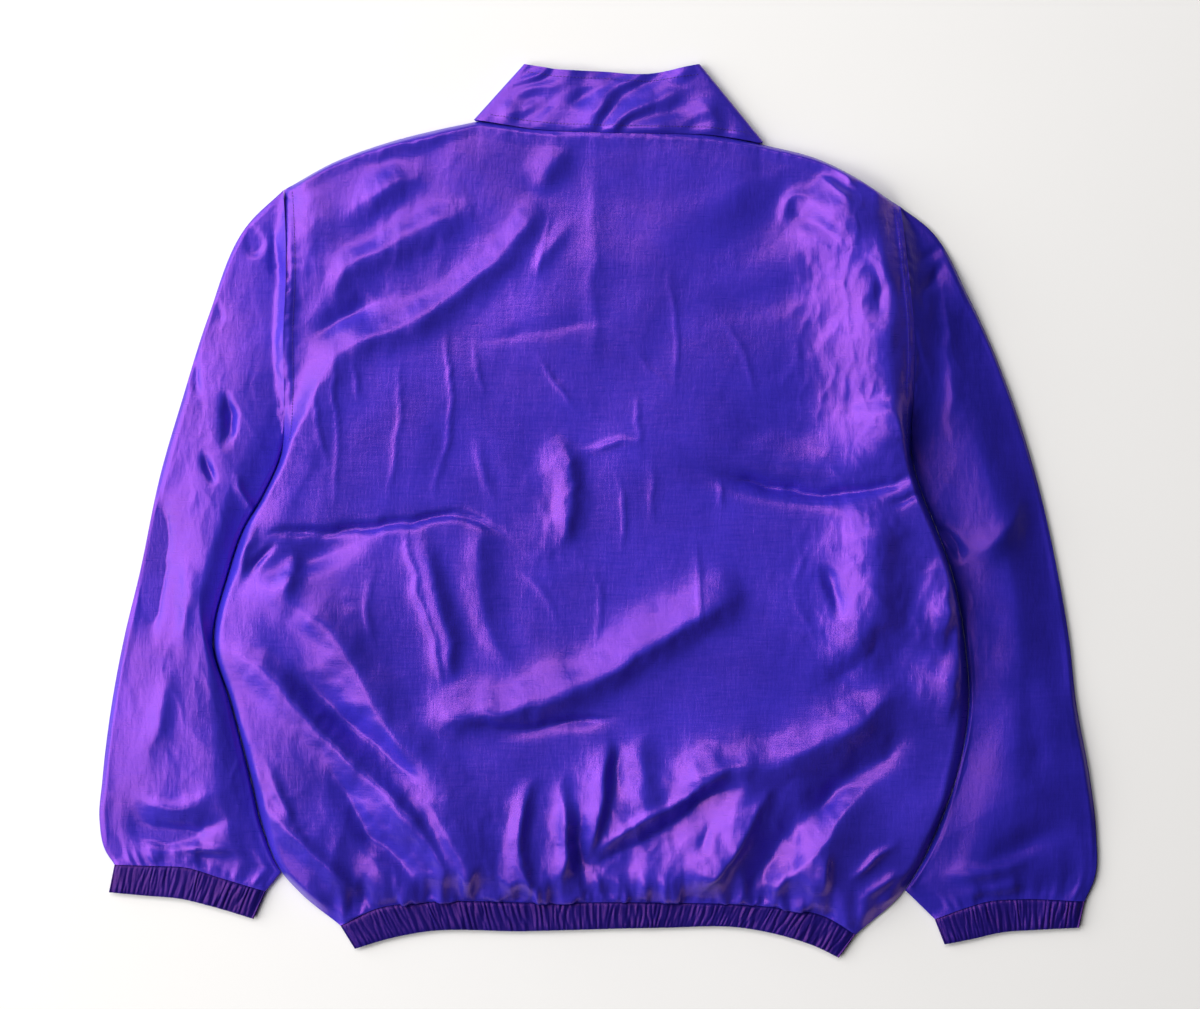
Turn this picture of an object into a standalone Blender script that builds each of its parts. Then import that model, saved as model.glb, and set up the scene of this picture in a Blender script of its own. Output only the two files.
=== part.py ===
"""A nylon pullover jacket laid flat on its front, with its back up.

The bloused back lies on a flat front. Two sleeves lie beside the body, elastic casings gather the
hem and the cuffs, and a stand collar is folded flat round the neck. X runs across the back, Y runs
from the hem to the collar and Z up from the surface. Sizes are in millimetres until a mesh is made.
"""

from collections import namedtuple

import bpy
import numpy as np

MM = 0.001  # a millimetre, in metres

# Driving sizes
WALL = 1.6  # shell cloth with its seam allowance
BAND_WALL = 1.4  # elastic casing
COLLAR_WALL = 2.2  # two layers of shell cloth with a stiffener
SEAM_GAP = 0.4  # between pieces that are sewn together
SLEEVE_GAP = 0.8  # between a sleeve and the body's side that it lies against
BAND_LOFT = 6.4  # height of the flattened elastic casings
COLLAR_LOFT = 8.0  # height of the flattened collar
COLLAR_RISE = 58.0  # collar height above its seam, at the centre front
SLIT_LENGTH = 240.0  # neck opening down the centre front
SLIT_WIDTH = 1.0
CENTRE_FRONT = 18.0  # x of the neck's centre
RIB_HEIGHT = 1.5  # how far the elastic's gathers stand up

# Resolution of the solids
LOW_STEPS, FLANK_STEPS, ARMHOLE_STEPS = 4, 21, 12  # up the body's sides
SHOULDER_STEPS, NECK_STEPS, FRONT_NECK_STEPS = 10, 17, 9  # across its top
FREE_STEPS = 2  # along a sleeve's edge below the notch
BAND_ROWS, POINTS_PER_RIB = 3, 4
COLLAR_ROWS = 5

# The body's two sides, hem to shoulder
BodySection = namedtuple("BodySection", "along left right")
BODY = (
    BodySection(-344, -268, 273),
    BodySection(-325, -285, 286),
    BodySection(-288, -301, 304),
    BodySection(-239, -313, 322),
    BodySection(-171, -331, 333),
    BodySection(-124, -346, 330),
    BodySection(-57, -333, 318),
    BodySection(-17, -319, 304),
    BodySection(12, -302, 292),
    BodySection(52, -285, 281),
    BodySection(99, -281, 281),
    BodySection(158, -281, 281),
    BodySection(207, -279, 277),
    BodySection(250, -280, 273),
)
ARMPIT = 52.0  # where side seam and armhole meet, along Y
NOTCH = {"left": -325.0, "right": -341.0}  # where a sleeve's cuff end leaves the body's side

# Edges of the body that cross it, left to right
Edge = namedtuple("Edge", "across along")
HEM_SEAM = (
    Edge(-232, -373),
    Edge(-198, -357),
    Edge(-160, -352),
    Edge(-53, -352),
    Edge(55, -352),
    Edge(129, -354),
    Edge(165, -357),
    Edge(202, -364),
    Edge(231, -381),
)
HEM_EDGE = (
    Edge(-219, -394),
    Edge(-197, -387),
    Edge(-160, -379),
    Edge(-68, -378),
    Edge(55, -375),
    Edge(129, -375),
    Edge(165, -382),
    Edge(198, -393),
    Edge(216, -402),
)
LEFT_SHOULDER = (Edge(-283, 288), Edge(-238, 313), Edge(-192, 330), Edge(-146, 342), Edge(-108, 350))
BACK_NECK = (Edge(-108, 350), Edge(-54, 341), Edge(-3, 338), Edge(47, 337), Edge(101, 336), Edge(144, 330))
RIGHT_SHOULDER = (Edge(144, 330), Edge(200, 315), Edge(232, 299), Edge(271, 273))
LEFT_FRONT_NECK = (Edge(-108, 350), Edge(-88, 303), Edge(-45, 271), Edge(18, 262))
RIGHT_FRONT_NECK = (Edge(18, 262), Edge(78, 267), Edge(124, 290), Edge(144, 330))
COLLAR_LEFT_DIP = (Edge(-14, 332), Edge(-38, 355))
COLLAR_RIGHT_DIP = (Edge(68, 354), Edge(46, 331))
COLLAR_TOP = (Edge(-63, 400), Edge(-35, 395.5), Edge(3, 394), Edge(42, 391.5), Edge(64, 395), Edge(87, 400))

# A sleeve's outer edge, shoulder to cuff, with the cloth's height beside either edge
SleeveSection = namedtuple("SleeveSection", "across along outer_loft inner_loft")
LEFT_SLEEVE = (
    SleeveSection(-283, 288, 14, 14),
    SleeveSection(-315, 257, 13, 20),
    SleeveSection(-351, 173, 12, 26),
    SleeveSection(-374, 100, 12, 30),
    SleeveSection(-393, 35, 12, 31),
    SleeveSection(-413, -59, 12, 31),
    SleeveSection(-426, -113, 13, 30),
    SleeveSection(-437, -171, 14, 28),
    SleeveSection(-446, -243, 18, 26),
    SleeveSection(-448.5, -278, 20, 22),
    SleeveSection(-443, -306, 16, 16),
    SleeveSection(-435, -318, 8, 8),
)
RIGHT_SLEEVE = (
    SleeveSection(271, 273, 14, 14),
    SleeveSection(297, 253, 16, 20),
    SleeveSection(334, 189, 18, 22),
    SleeveSection(366, 115, 16, 26),
    SleeveSection(389, 45, 14, 27),
    SleeveSection(414, -63, 12, 24),
    SleeveSection(423, -117, 12, 22),
    SleeveSection(429, -171, 13, 22),
    SleeveSection(442, -243, 16, 24),
    SleeveSection(447.4, -290, 20, 22),
    SleeveSection(446, -331, 16, 16),
    SleeveSection(437, -351, 8, 8),
)
LEFT_CUFF_SEAM = (Edge(-435, -318), Edge(-402, -319), Edge(-368, -321), Edge(-342, -329), Edge(-299, -342))
LEFT_CUFF_EDGE = (Edge(-440, -343), Edge(-408, -346), Edge(-375, -349), Edge(-350, -355), Edge(-310, -367))
RIGHT_CUFF_SEAM = (Edge(302, -367), Edge(329, -357), Edge(350, -351), Edge(378, -349), Edge(437, -351))
RIGHT_CUFF_EDGE = (Edge(311, -390), Edge(336, -385), Edge(363, -379), Edge(391, -377), Edge(432, -375))

# Height of the back's cloth between its edges, hem to shoulder
Crown = namedtuple("Crown", "along height")
BACK_CROWN = (Crown(-375, 26), Crown(-330, 38), Crown(-250, 36), Crown(-120, 30), Crown(60, 26), Crown(220, 22),
              Crown(350, 16))
BACK_RIM = 1.9  # where the back's edge rests on the front's
ARMHOLE_RIM = 18.0  # height of the armhole seam at its middle
NECK_RIM = 6.5
SIDE_ROUND, HEM_ROUND, TOP_ROUND = 34.0, 30.0, 24.0  # how far in from an edge the cloth rounds over

# The largest folds. A fold runs from start to end, bowed sideways, rises by its height, and falls
# away over one reach on its left side and another on its right, as seen from start to end.
Fold = namedtuple("Fold", "start_x start_y end_x end_y bow left_reach right_reach height")
BACK_FOLDS = (
    Fold(-150, -195, 105, -70, 10, 46, 26, 13),  # long ridge across the small of the back
    Fold(-40, -172, 170, -75, 8, 24, 30, -8),  # trough under that ridge
    Fold(60, -265, 270, -150, 12, 36, 26, 12),  # second ridge, nearer the right side
    Fold(110, -330, 285, -195, 10, 26, 26, -15),  # deep trough under it
    Fold(146, -352, 236, -240, 6, 18, 22, 10),  # ridge beside that trough
    Fold(-16, -332, 118, -240, 10, 22, 24, -14),  # dark trough above the hem
    Fold(-200, -180, -84, -352, 8, 24, 18, 8),  # ridges that run into the hem's left half
    Fold(-172, -165, -92, -330, 4, 26, 22, -9),
    Fold(-285, -165, -176, -338, 12, 24, 20, 8),
    Fold(-300, -262, -190, -350, 8, 20, 18, 6),
    Fold(-42, -180, -40, -350, 6, 22, 22, 8),  # upright ridge in the middle of the hem
    Fold(-330, -60, -190, -10, -8, 22, 18, -8),  # crease into the left side
    Fold(60, 50, 268, 22, -14, 20, 18, -8),  # crease into the right armpit
    Fold(-150, 318, -250, 255, 6, 24, 24, 6),  # slanting folds below the left shoulder
    Fold(-112, 285, -262, 190, 8, 24, 24, 7),
    Fold(-70, 255, -230, 150, 8, 24, 24, 6),
    Fold(238, 262, 262, 60, -14, 28, 70, 9),  # swell along the right armhole
)
LEFT_SLEEVE_FOLDS = (
    Fold(-300, 268, -292, 60, 6, 20, 20, -5),  # hollow beside the armhole seam
    Fold(-430, -262, -330, -318, -8, 22, 18, -6),  # hollow above the cuff
)
RIGHT_SLEEVE_FOLDS = (
    Fold(312, 215, 330, -60, -10, 34, 26, -12),  # long hollow beside the body
    Fold(326, -75, 402, 20, 6, 30, 30, 7),  # elbow fold
    Fold(318, -120, 412, -40, 6, 30, 30, -6),
    Fold(340, -330, 430, -282, 6, 22, 20, -7),  # hollow above the cuff
)
HEM_RIBS, CUFF_RIBS = 54, 22
RIB_SWING = 0.35  # how unevenly the gathers are spaced, as a share of their spacing

CLOTH_COLOUR = (0.085, 0.032, 0.48, 1.0)
BAND_COLOUR = (0.070, 0.026, 0.37, 1.0)
CLOTH_ROUGHNESS, CLOTH_METALLIC = 0.36, 0.35


def clear_scene():
    for thing in list(bpy.data.objects):
        bpy.data.objects.remove(thing, do_unlink=True)


def nylon(name, colour):
    material = bpy.data.materials.new(name)
    material.use_nodes = True
    shader = material.node_tree.nodes["Principled BSDF"]
    shader.inputs["Base Color"].default_value = colour
    shader.inputs["Roughness"].default_value = CLOTH_ROUGHNESS
    shader.inputs["Metallic"].default_value = CLOTH_METALLIC
    return material


def smooth_curve(points, shares):
    """Points of a smooth curve through the given ones, at these shares of its length."""
    points = np.asarray(points, float)
    along = np.r_[0, np.cumsum(np.linalg.norm(np.diff(points, axis=0), axis=1))]
    slopes = np.gradient(points, along, axis=0)
    places = np.linspace(0, along[-1], 40 * len(points))
    piece = np.clip(np.searchsorted(along, places, side="right") - 1, 0, len(points) - 2)
    span = (along[piece + 1] - along[piece])[:, None]
    t = (places - along[piece])[:, None] / span
    dense = (
        (2 * t**3 - 3 * t**2 + 1) * points[piece]
        + (t**3 - 2 * t**2 + t) * span * slopes[piece]
        + (3 * t**2 - 2 * t**3) * points[piece + 1]
        + (t**3 - t**2) * span * slopes[piece + 1]
    )
    length = np.r_[0, np.cumsum(np.linalg.norm(np.diff(dense, axis=0), axis=1))]
    wanted = np.asarray(shares) * length[-1]
    return np.stack([np.interp(wanted, length, dense[:, i]) for i in range(2)], axis=1)


def spread(points, shares):
    """Points at these shares of a dense polyline's length."""
    length = np.r_[0, np.cumsum(np.linalg.norm(np.diff(points, axis=0), axis=1))]
    wanted = np.asarray(shares) * length[-1]
    return np.stack([np.interp(wanted, length, points[:, i]) for i in range(2)], axis=1)


def moved_aside(points, distance):
    """A dense polyline moved to its left by a distance."""
    run = np.gradient(points, axis=0)
    run /= np.linalg.norm(run, axis=1)[:, None]
    return points + distance * np.stack([-run[:, 1], run[:, 0]], axis=1)


def crowded(count):
    """Shares from 0 to 1 that lie closer together near both ends."""
    even = np.linspace(0, 1, count)
    return 0.5 * even + 0.5 * (0.5 - 0.5 * np.cos(np.pi * even))


def patch(bottom, top, left, right, rows, columns):
    """Plan points [row, column] of a patch that spans four edges meeting at its corners."""
    u, v = columns[None, :, None], rows[:, None, None]
    ruled = (1 - v) * bottom + v * top + (1 - u) * left[:, None] + u * right[:, None]
    corners = (1 - v) * ((1 - u) * bottom[0] + u * bottom[-1]) + v * ((1 - u) * top[0] + u * top[-1])
    return ruled - corners


def rounded(distance, reach):
    """0 on an edge, rising as a quarter round to 1 at the reach."""
    t = np.clip(distance / reach, 0, 1)
    return np.sqrt(1 - (1 - t) ** 2)


def fold_heights(x, y, folds):
    """The height that folds add at plan points."""
    total = np.zeros_like(x)
    for fold in folds:
        run = np.array([fold.end_x - fold.start_x, fold.end_y - fold.start_y], float)
        length = np.linalg.norm(run)
        run /= length
        t = ((x - fold.start_x) * run[0] + (y - fold.start_y) * run[1]) / length
        aside = (y - fold.start_y) * run[0] - (x - fold.start_x) * run[1]
        aside = aside - fold.bow * 4 * t * (1 - t)
        reach = np.where(aside > 0, fold.left_reach, fold.right_reach)
        across = np.exp(-2.2 * (aside / reach) ** 2)
        taper = np.sin(np.pi * np.clip(t, 0, 1)) ** 1.5
        total += fold.height * across * taper
    return total


def normals(grid, wrap):
    """Unit normals of a grid of points [row, column], on the side that its faces show."""
    if wrap:
        wide = np.concatenate([grid[:, -1:], grid, grid[:, :1]], axis=1)
        across = np.gradient(wide, axis=1)[:, 1:-1]
    else:
        across = np.gradient(grid, axis=1)
    along = np.gradient(grid, axis=0)
    facing = np.cross(across, along)
    return facing / np.linalg.norm(facing, axis=2)[:, :, None]


def wall_faces(rows, columns, wrap):
    """Faces of a closed wall: outside and inside grids of points and the rims between them."""
    inside = rows * columns
    faces = []
    for r in range(rows - 1):
        for c in range(columns if wrap else columns - 1):
            d = (c + 1) % columns
            a, b = r * columns + c, r * columns + d
            e, f = a + columns, b + columns
            faces.append((a, b, f, e))
            faces.append((inside + a, inside + e, inside + f, inside + b))
    for c in range(columns if wrap else columns - 1):
        d = (c + 1) % columns
        last = (rows - 1) * columns
        faces.append((c, inside + c, inside + d, d))
        faces.append((last + c, last + d, inside + last + d, inside + last + c))
    if not wrap:
        for r in range(rows - 1):
            a, b = r * columns, (r + 1) * columns
            faces.append((a, b, inside + b, inside + a))
            a, b = a + columns - 1, b + columns - 1
            faces.append((a, inside + a, inside + b, b))
    return faces


def piece(name, points, faces, material, parent):
    mesh = bpy.data.meshes.new(name)
    mesh.from_pydata((np.asarray(points) * MM).tolist(), [], faces)
    mesh.shade_smooth()
    mesh.set_sharp_from_angle(angle=np.radians(50))
    mesh.materials.append(material)
    thing = bpy.data.objects.new(name, mesh)
    bpy.context.scene.collection.objects.link(thing)
    thing.parent = parent
    return thing


def wall(name, outside, inside, wrap, material, parent):
    rows, columns = outside.shape[:2]
    points = np.concatenate([outside.reshape(-1, 3), inside.reshape(-1, 3)])
    return piece(name, points, wall_faces(rows, columns, wrap), material, parent)


def steps(count):
    return np.linspace(0, 1, count + 1)


def body_side(side):
    """The body's left or right edge in three stretches of points: hem to notch, to armpit, to shoulder."""
    ends = {"left": (HEM_SEAM[0], LEFT_SHOULDER[0]), "right": (HEM_SEAM[-1], RIGHT_SHOULDER[-1])}[side]
    through = [ends[0]] + [Edge(getattr(row, side), row.along) for row in BODY] + [ends[1]]
    dense = smooth_curve(through, np.linspace(0, 1, 600))
    stops = (ends[0].along, NOTCH[side], ARMPIT, ends[1].along)
    shares = (steps(LOW_STEPS), steps(FLANK_STEPS), crowded(ARMHOLE_STEPS + 1))
    stretches = []
    for low, high, share in zip(stops, stops[1:], shares):
        along = low + (high - low) * share
        stretches.append(np.stack([np.interp(along, dense[:, 1], dense[:, 0]), along], axis=1))
    return stretches


def whole_side(side):
    low, flank, armhole = body_side(side)
    return np.concatenate([low, flank[1:], armhole[1:]])


def shoulder_line(side):
    """A shoulder's points, from left to right."""
    return smooth_curve({"left": LEFT_SHOULDER, "right": RIGHT_SHOULDER}[side], steps(SHOULDER_STEPS))


def back_neckline():
    return smooth_curve(BACK_NECK, steps(NECK_STEPS))


def body_top():
    left, neck, right = shoulder_line("left"), back_neckline(), shoulder_line("right")
    return np.concatenate([left, neck[1:], right[1:]])


def shares_along(points):
    length = np.r_[0, np.cumsum(np.linalg.norm(np.diff(points, axis=0), axis=1))]
    return length / length[-1]


def hem_line():
    return smooth_curve(HEM_SEAM, shares_along(body_top()))


def armhole_rim(along, low_end):
    """Height of the body's edge: low at the side seam, raised over the armhole."""
    share = np.clip((along - ARMPIT) / (280 - ARMPIT), 0, 1)
    return low_end + (ARMHOLE_RIM - low_end) * np.sin(np.pi * share) ** 0.7


def back_heights(plan, rows, columns):
    """Height of the back's outside at its plan points."""
    x, y = plan[:, :, 0], plan[:, :, 1]
    width = np.linalg.norm(np.diff(plan, axis=1), axis=2).sum(axis=1)[:, None]
    length = np.linalg.norm(np.diff(plan, axis=0), axis=2).sum(axis=0)[None, :]
    u, v = columns[None, :], rows[:, None]
    left, right = u * width, (1 - u) * width
    bottom, top = v * length, (1 - v) * length
    side_rim = armhole_rim(y, BACK_RIM)
    on_neck = np.clip((x - BACK_NECK[0].across) * (BACK_NECK[-1].across - x) / 900, 0, 1)
    top_rim = BACK_RIM + (NECK_RIM - BACK_RIM) * on_neck
    near = [1 / (side + 2) ** 2 for side in (left, right, bottom, top)]
    rims = [side_rim, side_rim, np.full_like(x, BAND_LOFT), top_rim]
    rim = sum(n * r for n, r in zip(near, rims)) / sum(near)
    round_over = rounded(left, SIDE_ROUND) * rounded(right, SIDE_ROUND)
    round_over = round_over * rounded(bottom, HEM_ROUND) * rounded(top, TOP_ROUND)
    crown = np.interp(y, [c.along for c in BACK_CROWN], [c.height for c in BACK_CROWN])
    height = rim + (crown - rim + fold_heights(x, y, BACK_FOLDS)) * round_over
    lowest = WALL + SEAM_GAP + (WALL + 1.0) * round_over
    return np.maximum(height, lowest)


def make_back(material, parent):
    left, right, top = whole_side("left"), whole_side("right"), body_top()
    rows = (shares_along(left) + shares_along(right)) / 2
    columns = shares_along(top)
    plan = patch(hem_line(), top, left, right, rows, columns)
    outside = np.dstack([plan, back_heights(plan, rows, columns)])
    inside = outside - WALL * normals(outside, False)
    inside[:, :, 2] = np.maximum(inside[:, :, 2], WALL + SEAM_GAP)
    return wall("back", outside, inside, False, material, parent)


def front_necklines():
    """The front neck's two halves, each from the shoulder to the centre front."""
    left = smooth_curve(LEFT_FRONT_NECK, steps(FRONT_NECK_STEPS))
    right = smooth_curve(RIGHT_FRONT_NECK[::-1], steps(FRONT_NECK_STEPS))
    return left, right


def make_front(material, parent):
    """The flat panel that the jacket rests on, with the slit in its neckline."""
    left_neck, right_neck = front_necklines()
    slit = SLIT_WIDTH / 2
    left_neck[-1, 0] -= slit
    right_neck[-1, 0] += slit
    low = left_neck[-1, 1] - SLIT_LENGTH
    ring = np.concatenate(
        [
            hem_line()[:-1],
            whole_side("right")[:-1],
            shoulder_line("right")[::-1][:-1],
            right_neck,
            [(CENTRE_FRONT + slit, low), (CENTRE_FRONT - slit, low)],
            left_neck[::-1],
            shoulder_line("left")[::-1][1:-1],
            whole_side("left")[::-1][:-1],
        ]
    )
    count = len(ring)
    points = [(x, y, 0) for x, y in ring] + [(x, y, WALL) for x, y in ring]
    faces = [tuple(range(count))[::-1], tuple(range(count, 2 * count))]
    faces += [(i, (i + 1) % count, count + (i + 1) % count, count + i) for i in range(count)]
    return piece("front", points, faces, material, parent)


def tube_ring(top, under):
    """Rows of the closed rings of a flattened tube: over the top left to right, then back below."""
    return np.concatenate([top, under[:, ::-1]], axis=1)


def make_tube(name, plan, heights, ribs, thickness, under_columns, material, parent):
    """A flattened tube over a plan patch: its top at these heights, its underside flat on the surface."""
    rows, columns = heights.shape
    plain = np.dstack([plan, heights])
    shares = np.linspace(0, columns - 1, under_columns + 2)[1:-1]
    below = np.stack(
        [[np.interp(shares, np.arange(columns), plan[r, :, i]) for i in range(2)] for r in range(rows)]
    ).transpose(0, 2, 1)
    under = np.dstack([below, np.zeros(below.shape[:2])])
    outside = tube_ring(plain + np.dstack([0 * heights, 0 * heights, ribs]), under)
    inside = tube_ring(plain, under)
    inward = -thickness * normals(inside, True)
    over, floor = slice(0, columns), slice(columns, None)
    for mouth in (0, -1):
        seam = np.gradient(plan[mouth], axis=0)
        seam /= np.linalg.norm(seam, axis=1)[:, None]
        inward[mouth, over, :2] = seam * (inward[mouth, over, :2] * seam).sum(axis=1)[:, None]
    inside = inside + inward
    inside[:, floor, 2] = thickness
    inside[:, over, 2] = np.maximum(inside[:, over, 2], thickness + 0.5)
    return wall(name, outside, inside, True, material, parent)


def sleeve_plan(outline, side, cuff_seam):
    """Plan patch of a sleeve, cuff to armhole, with its shares along and across."""
    away = 1 if side == "left" else -1
    _, flank, armhole = body_side(side)
    armhole = moved_aside(armhole, away * SEAM_GAP)
    flank = moved_aside(flank, away * SLEEVE_GAP)
    cuff_end = cuff_seam[-1] if side == "left" else cuff_seam[0]
    free_edge = np.linspace(cuff_end, flank[0], FREE_STEPS + 1)
    inner = np.concatenate([free_edge[:-1], flank[:-1], armhole[:1]])
    rows, columns = shares_along(inner), crowded(ARMHOLE_STEPS + 1)
    outer = smooth_curve([(s.across, s.along) for s in outline][::-1], rows)
    outer[-1] = armhole[-1]
    cuff = smooth_curve(cuff_seam, columns)
    if side == "left":
        return patch(cuff, armhole[::-1], outer, inner, rows, columns), rows, columns
    return patch(cuff, armhole, inner, outer, rows, columns), rows, columns


def sleeve_heights(plan, outline, side, folds, rows, columns):
    x, y = plan[:, :, 0], plan[:, :, 1]
    width = np.linalg.norm(np.diff(plan, axis=1), axis=2).sum(axis=1)[:, None]
    length = np.linalg.norm(np.diff(plan, axis=0), axis=2).sum(axis=0)[None, :]
    u, v = columns[None, :], rows[:, None]
    stations = np.linspace(0, 1, len(outline))
    outer_loft = np.interp(rows, stations, [s.outer_loft for s in outline][::-1])[:, None]
    inner_loft = np.interp(rows, stations, [s.inner_loft for s in outline][::-1])[:, None]
    across = u if side == "left" else 1 - u
    crown = outer_loft + (inner_loft - outer_loft) * across
    left, right = u * width, (1 - u) * width
    cuff, shoulder = v * length, (1 - v) * length
    side_rim = np.full_like(x, WALL + 1.0)
    armhole = side_rim + (ARMHOLE_RIM - side_rim) * np.sin(np.pi * across) ** 0.7
    near = [1 / (edge + 2) ** 2 for edge in (left, right, cuff, shoulder)]
    rims = [side_rim, side_rim, np.full_like(x, BAND_LOFT), armhole]
    rim = sum(n * r for n, r in zip(near, rims)) / sum(near)
    sides = rounded(left, 22) * rounded(right, 22)
    ends = rounded(cuff, 26) * rounded(shoulder, 22)
    height = rim + (crown - rim + fold_heights(x, y, folds)) * sides * ends
    return np.maximum(height, 2 * WALL + 0.8 - 0.6 * (1 - sides))


def make_sleeve(side, outline, cuff_seam, folds, material, parent):
    plan, rows, columns = sleeve_plan(outline, side, cuff_seam)
    heights = sleeve_heights(plan, outline, side, folds, rows, columns)
    none = np.zeros_like(heights)
    return make_tube(f"sleeve_{side}", plan, heights, none, WALL, ARMHOLE_STEPS - 1, material, parent)


def make_band(name, seam, edge, ribs, material, parent):
    """An elastic casing, flattened, with its gathers raised in its upper side."""
    count = ribs * POINTS_PER_RIB + 1
    columns, rows = np.linspace(0, 1, count), np.linspace(0, 1, BAND_ROWS)
    top = spread(moved_aside(seam, -SEAM_GAP), columns)
    bottom = smooth_curve(edge, columns)
    left = np.linspace(bottom[0], top[0], BAND_ROWS)
    right = np.linspace(bottom[-1], top[-1], BAND_ROWS)
    plan = patch(bottom, top, left, right, rows, columns)
    length = np.linalg.norm(np.diff(bottom, axis=0), axis=1).sum()
    u, v = columns[None, :], rows[:, None]
    ends = rounded(np.minimum(u, 1 - u) * length, 9)
    least = 2 * BAND_WALL + 0.6
    heights = least + (BAND_LOFT - least) * ends + 0 * v
    sway = RIB_SWING * np.sin(u * ribs * 1.7) * np.sin(u * ribs * 0.61 + 1)
    wave = 0.5 - 0.5 * np.cos(2 * np.pi * (u * ribs + sway))
    tall = 0.75 + 0.25 * np.sin(u * ribs * 2.3 + 3 * v)
    return make_tube(name, plan, heights, RIB_HEIGHT * wave * tall * ends, BAND_WALL, ribs // 3, material, parent)


def collar_edges():
    """The collar's seam and top edges in plan, each as left front, back and right front."""
    left_neck, right_neck = front_necklines()
    middle = (CENTRE_FRONT, left_neck[-1, 1] + COLLAR_RISE)
    even = steps(FRONT_NECK_STEPS)
    seam = [
        moved_aside(left_neck, SEAM_GAP)[::-1],
        moved_aside(back_neckline(), 1.5 * SEAM_GAP),
        moved_aside(right_neck, -SEAM_GAP),
    ]
    top = [
        smooth_curve((middle,) + COLLAR_LEFT_DIP + COLLAR_TOP[:1], even),
        smooth_curve(COLLAR_TOP, steps(NECK_STEPS)),
        smooth_curve(COLLAR_TOP[-1:] + COLLAR_RIGHT_DIP + (middle,), even),
    ]
    for left, _, right in (seam, top):
        left[0, 0] = CENTRE_FRONT - SLIT_WIDTH / 2
        right[-1, 0] = CENTRE_FRONT + SLIT_WIDTH / 2
    return seam, top


def make_collar(material, parent):
    """A strip folded flat: the front halves below, the back above, a rounded fold at either side."""
    seam, top = collar_edges()
    fold_out = np.array([COLLAR_LOFT / 2, 0])
    fold_up = np.array([0, COLLAR_LOFT / 4])
    rows = []
    for v in steps(COLLAR_ROWS - 1):
        left, back, right = ((1 - v) * low + v * high for low, high in zip(seam, top))
        arch = np.sin(np.pi * steps(NECK_STEPS))
        over = COLLAR_LOFT + (2.0 + 3.0 * v) * arch
        folds = [back[0] - fold_out + fold_up, back[-1] + fold_out + fold_up]
        for end in (left[-1], back[0], back[-1], right[0]):
            end += fold_up / 2
        rows.append(
            np.concatenate(
                [
                    np.c_[left, np.zeros(len(left))],
                    [(*folds[0], COLLAR_LOFT / 2)],
                    np.c_[back, over],
                    [(*folds[1], COLLAR_LOFT / 2)],
                    np.c_[right, np.zeros(len(right))],
                ]
            )
        )
    outside = np.array(rows)
    inside = outside - COLLAR_WALL * normals(outside, False)
    flat = outside[:, :, 2] == 0
    inside[flat, :2] = outside[flat, :2]
    inside[flat, 2] = WALL
    return wall("collar", outside, inside, False, material, parent)


def main():
    clear_scene()
    cloth, band = nylon("nylon", CLOTH_COLOUR), nylon("gathered_nylon", BAND_COLOUR)
    jacket = bpy.data.objects.new("jacket", None)
    bpy.context.scene.collection.objects.link(jacket)
    make_back(cloth, jacket)
    make_front(cloth, jacket)
    make_sleeve("left", LEFT_SLEEVE, LEFT_CUFF_SEAM, LEFT_SLEEVE_FOLDS, cloth, jacket)
    make_sleeve("right", RIGHT_SLEEVE, RIGHT_CUFF_SEAM, RIGHT_SLEEVE_FOLDS, cloth, jacket)
    across = crowded(ARMHOLE_STEPS + 1)
    left_cuff, right_cuff = (smooth_curve(seam, across) for seam in (LEFT_CUFF_SEAM, RIGHT_CUFF_SEAM))
    make_band("cuff_left", left_cuff, LEFT_CUFF_EDGE, CUFF_RIBS, band, jacket)
    make_band("cuff_right", right_cuff, RIGHT_CUFF_EDGE, CUFF_RIBS, band, jacket)
    make_band("hem_band", hem_line(), HEM_EDGE, HEM_RIBS, band, jacket)
    make_collar(cloth, jacket)


main()
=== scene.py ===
from collections import namedtuple

import bpy
import numpy as np
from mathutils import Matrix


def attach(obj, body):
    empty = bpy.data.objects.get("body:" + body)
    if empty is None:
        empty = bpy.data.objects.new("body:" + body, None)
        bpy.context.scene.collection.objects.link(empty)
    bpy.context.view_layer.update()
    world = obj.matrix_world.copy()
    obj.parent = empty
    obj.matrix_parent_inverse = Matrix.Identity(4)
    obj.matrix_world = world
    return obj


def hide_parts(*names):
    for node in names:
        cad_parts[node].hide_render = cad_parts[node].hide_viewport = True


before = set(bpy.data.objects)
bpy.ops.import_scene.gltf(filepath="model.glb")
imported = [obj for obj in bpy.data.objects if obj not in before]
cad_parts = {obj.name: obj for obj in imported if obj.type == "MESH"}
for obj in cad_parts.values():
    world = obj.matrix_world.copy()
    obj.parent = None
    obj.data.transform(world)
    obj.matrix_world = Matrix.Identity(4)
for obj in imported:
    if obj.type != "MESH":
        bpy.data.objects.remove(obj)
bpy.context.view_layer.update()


def table(columns, rows):
    """Rows with named columns."""
    return tuple(columns(*row) for row in rows)


# Sizes are in millimetres until a mesh is made. X runs across the back, Y from the hem to the
# collar and Z up from the floor, as in the solids.
MM = 0.001
WALL, BAND_WALL, COLLAR_WALL = 1.6, 1.4, 2.2
SEAM_GAP = 0.15
BAND_LOFT, COLLAR_LOFT, COLLAR_RISE = 6.4, 8.0, 58.0
SLIT_LENGTH, SLIT_WIDTH, CENTRE_FRONT = 240.0, 1.0, 18.0
ARMPIT, ARMHOLE_TOP = 52.0, 280.0
NOTCH = {"left": -325.0, "right": -341.0}

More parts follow.
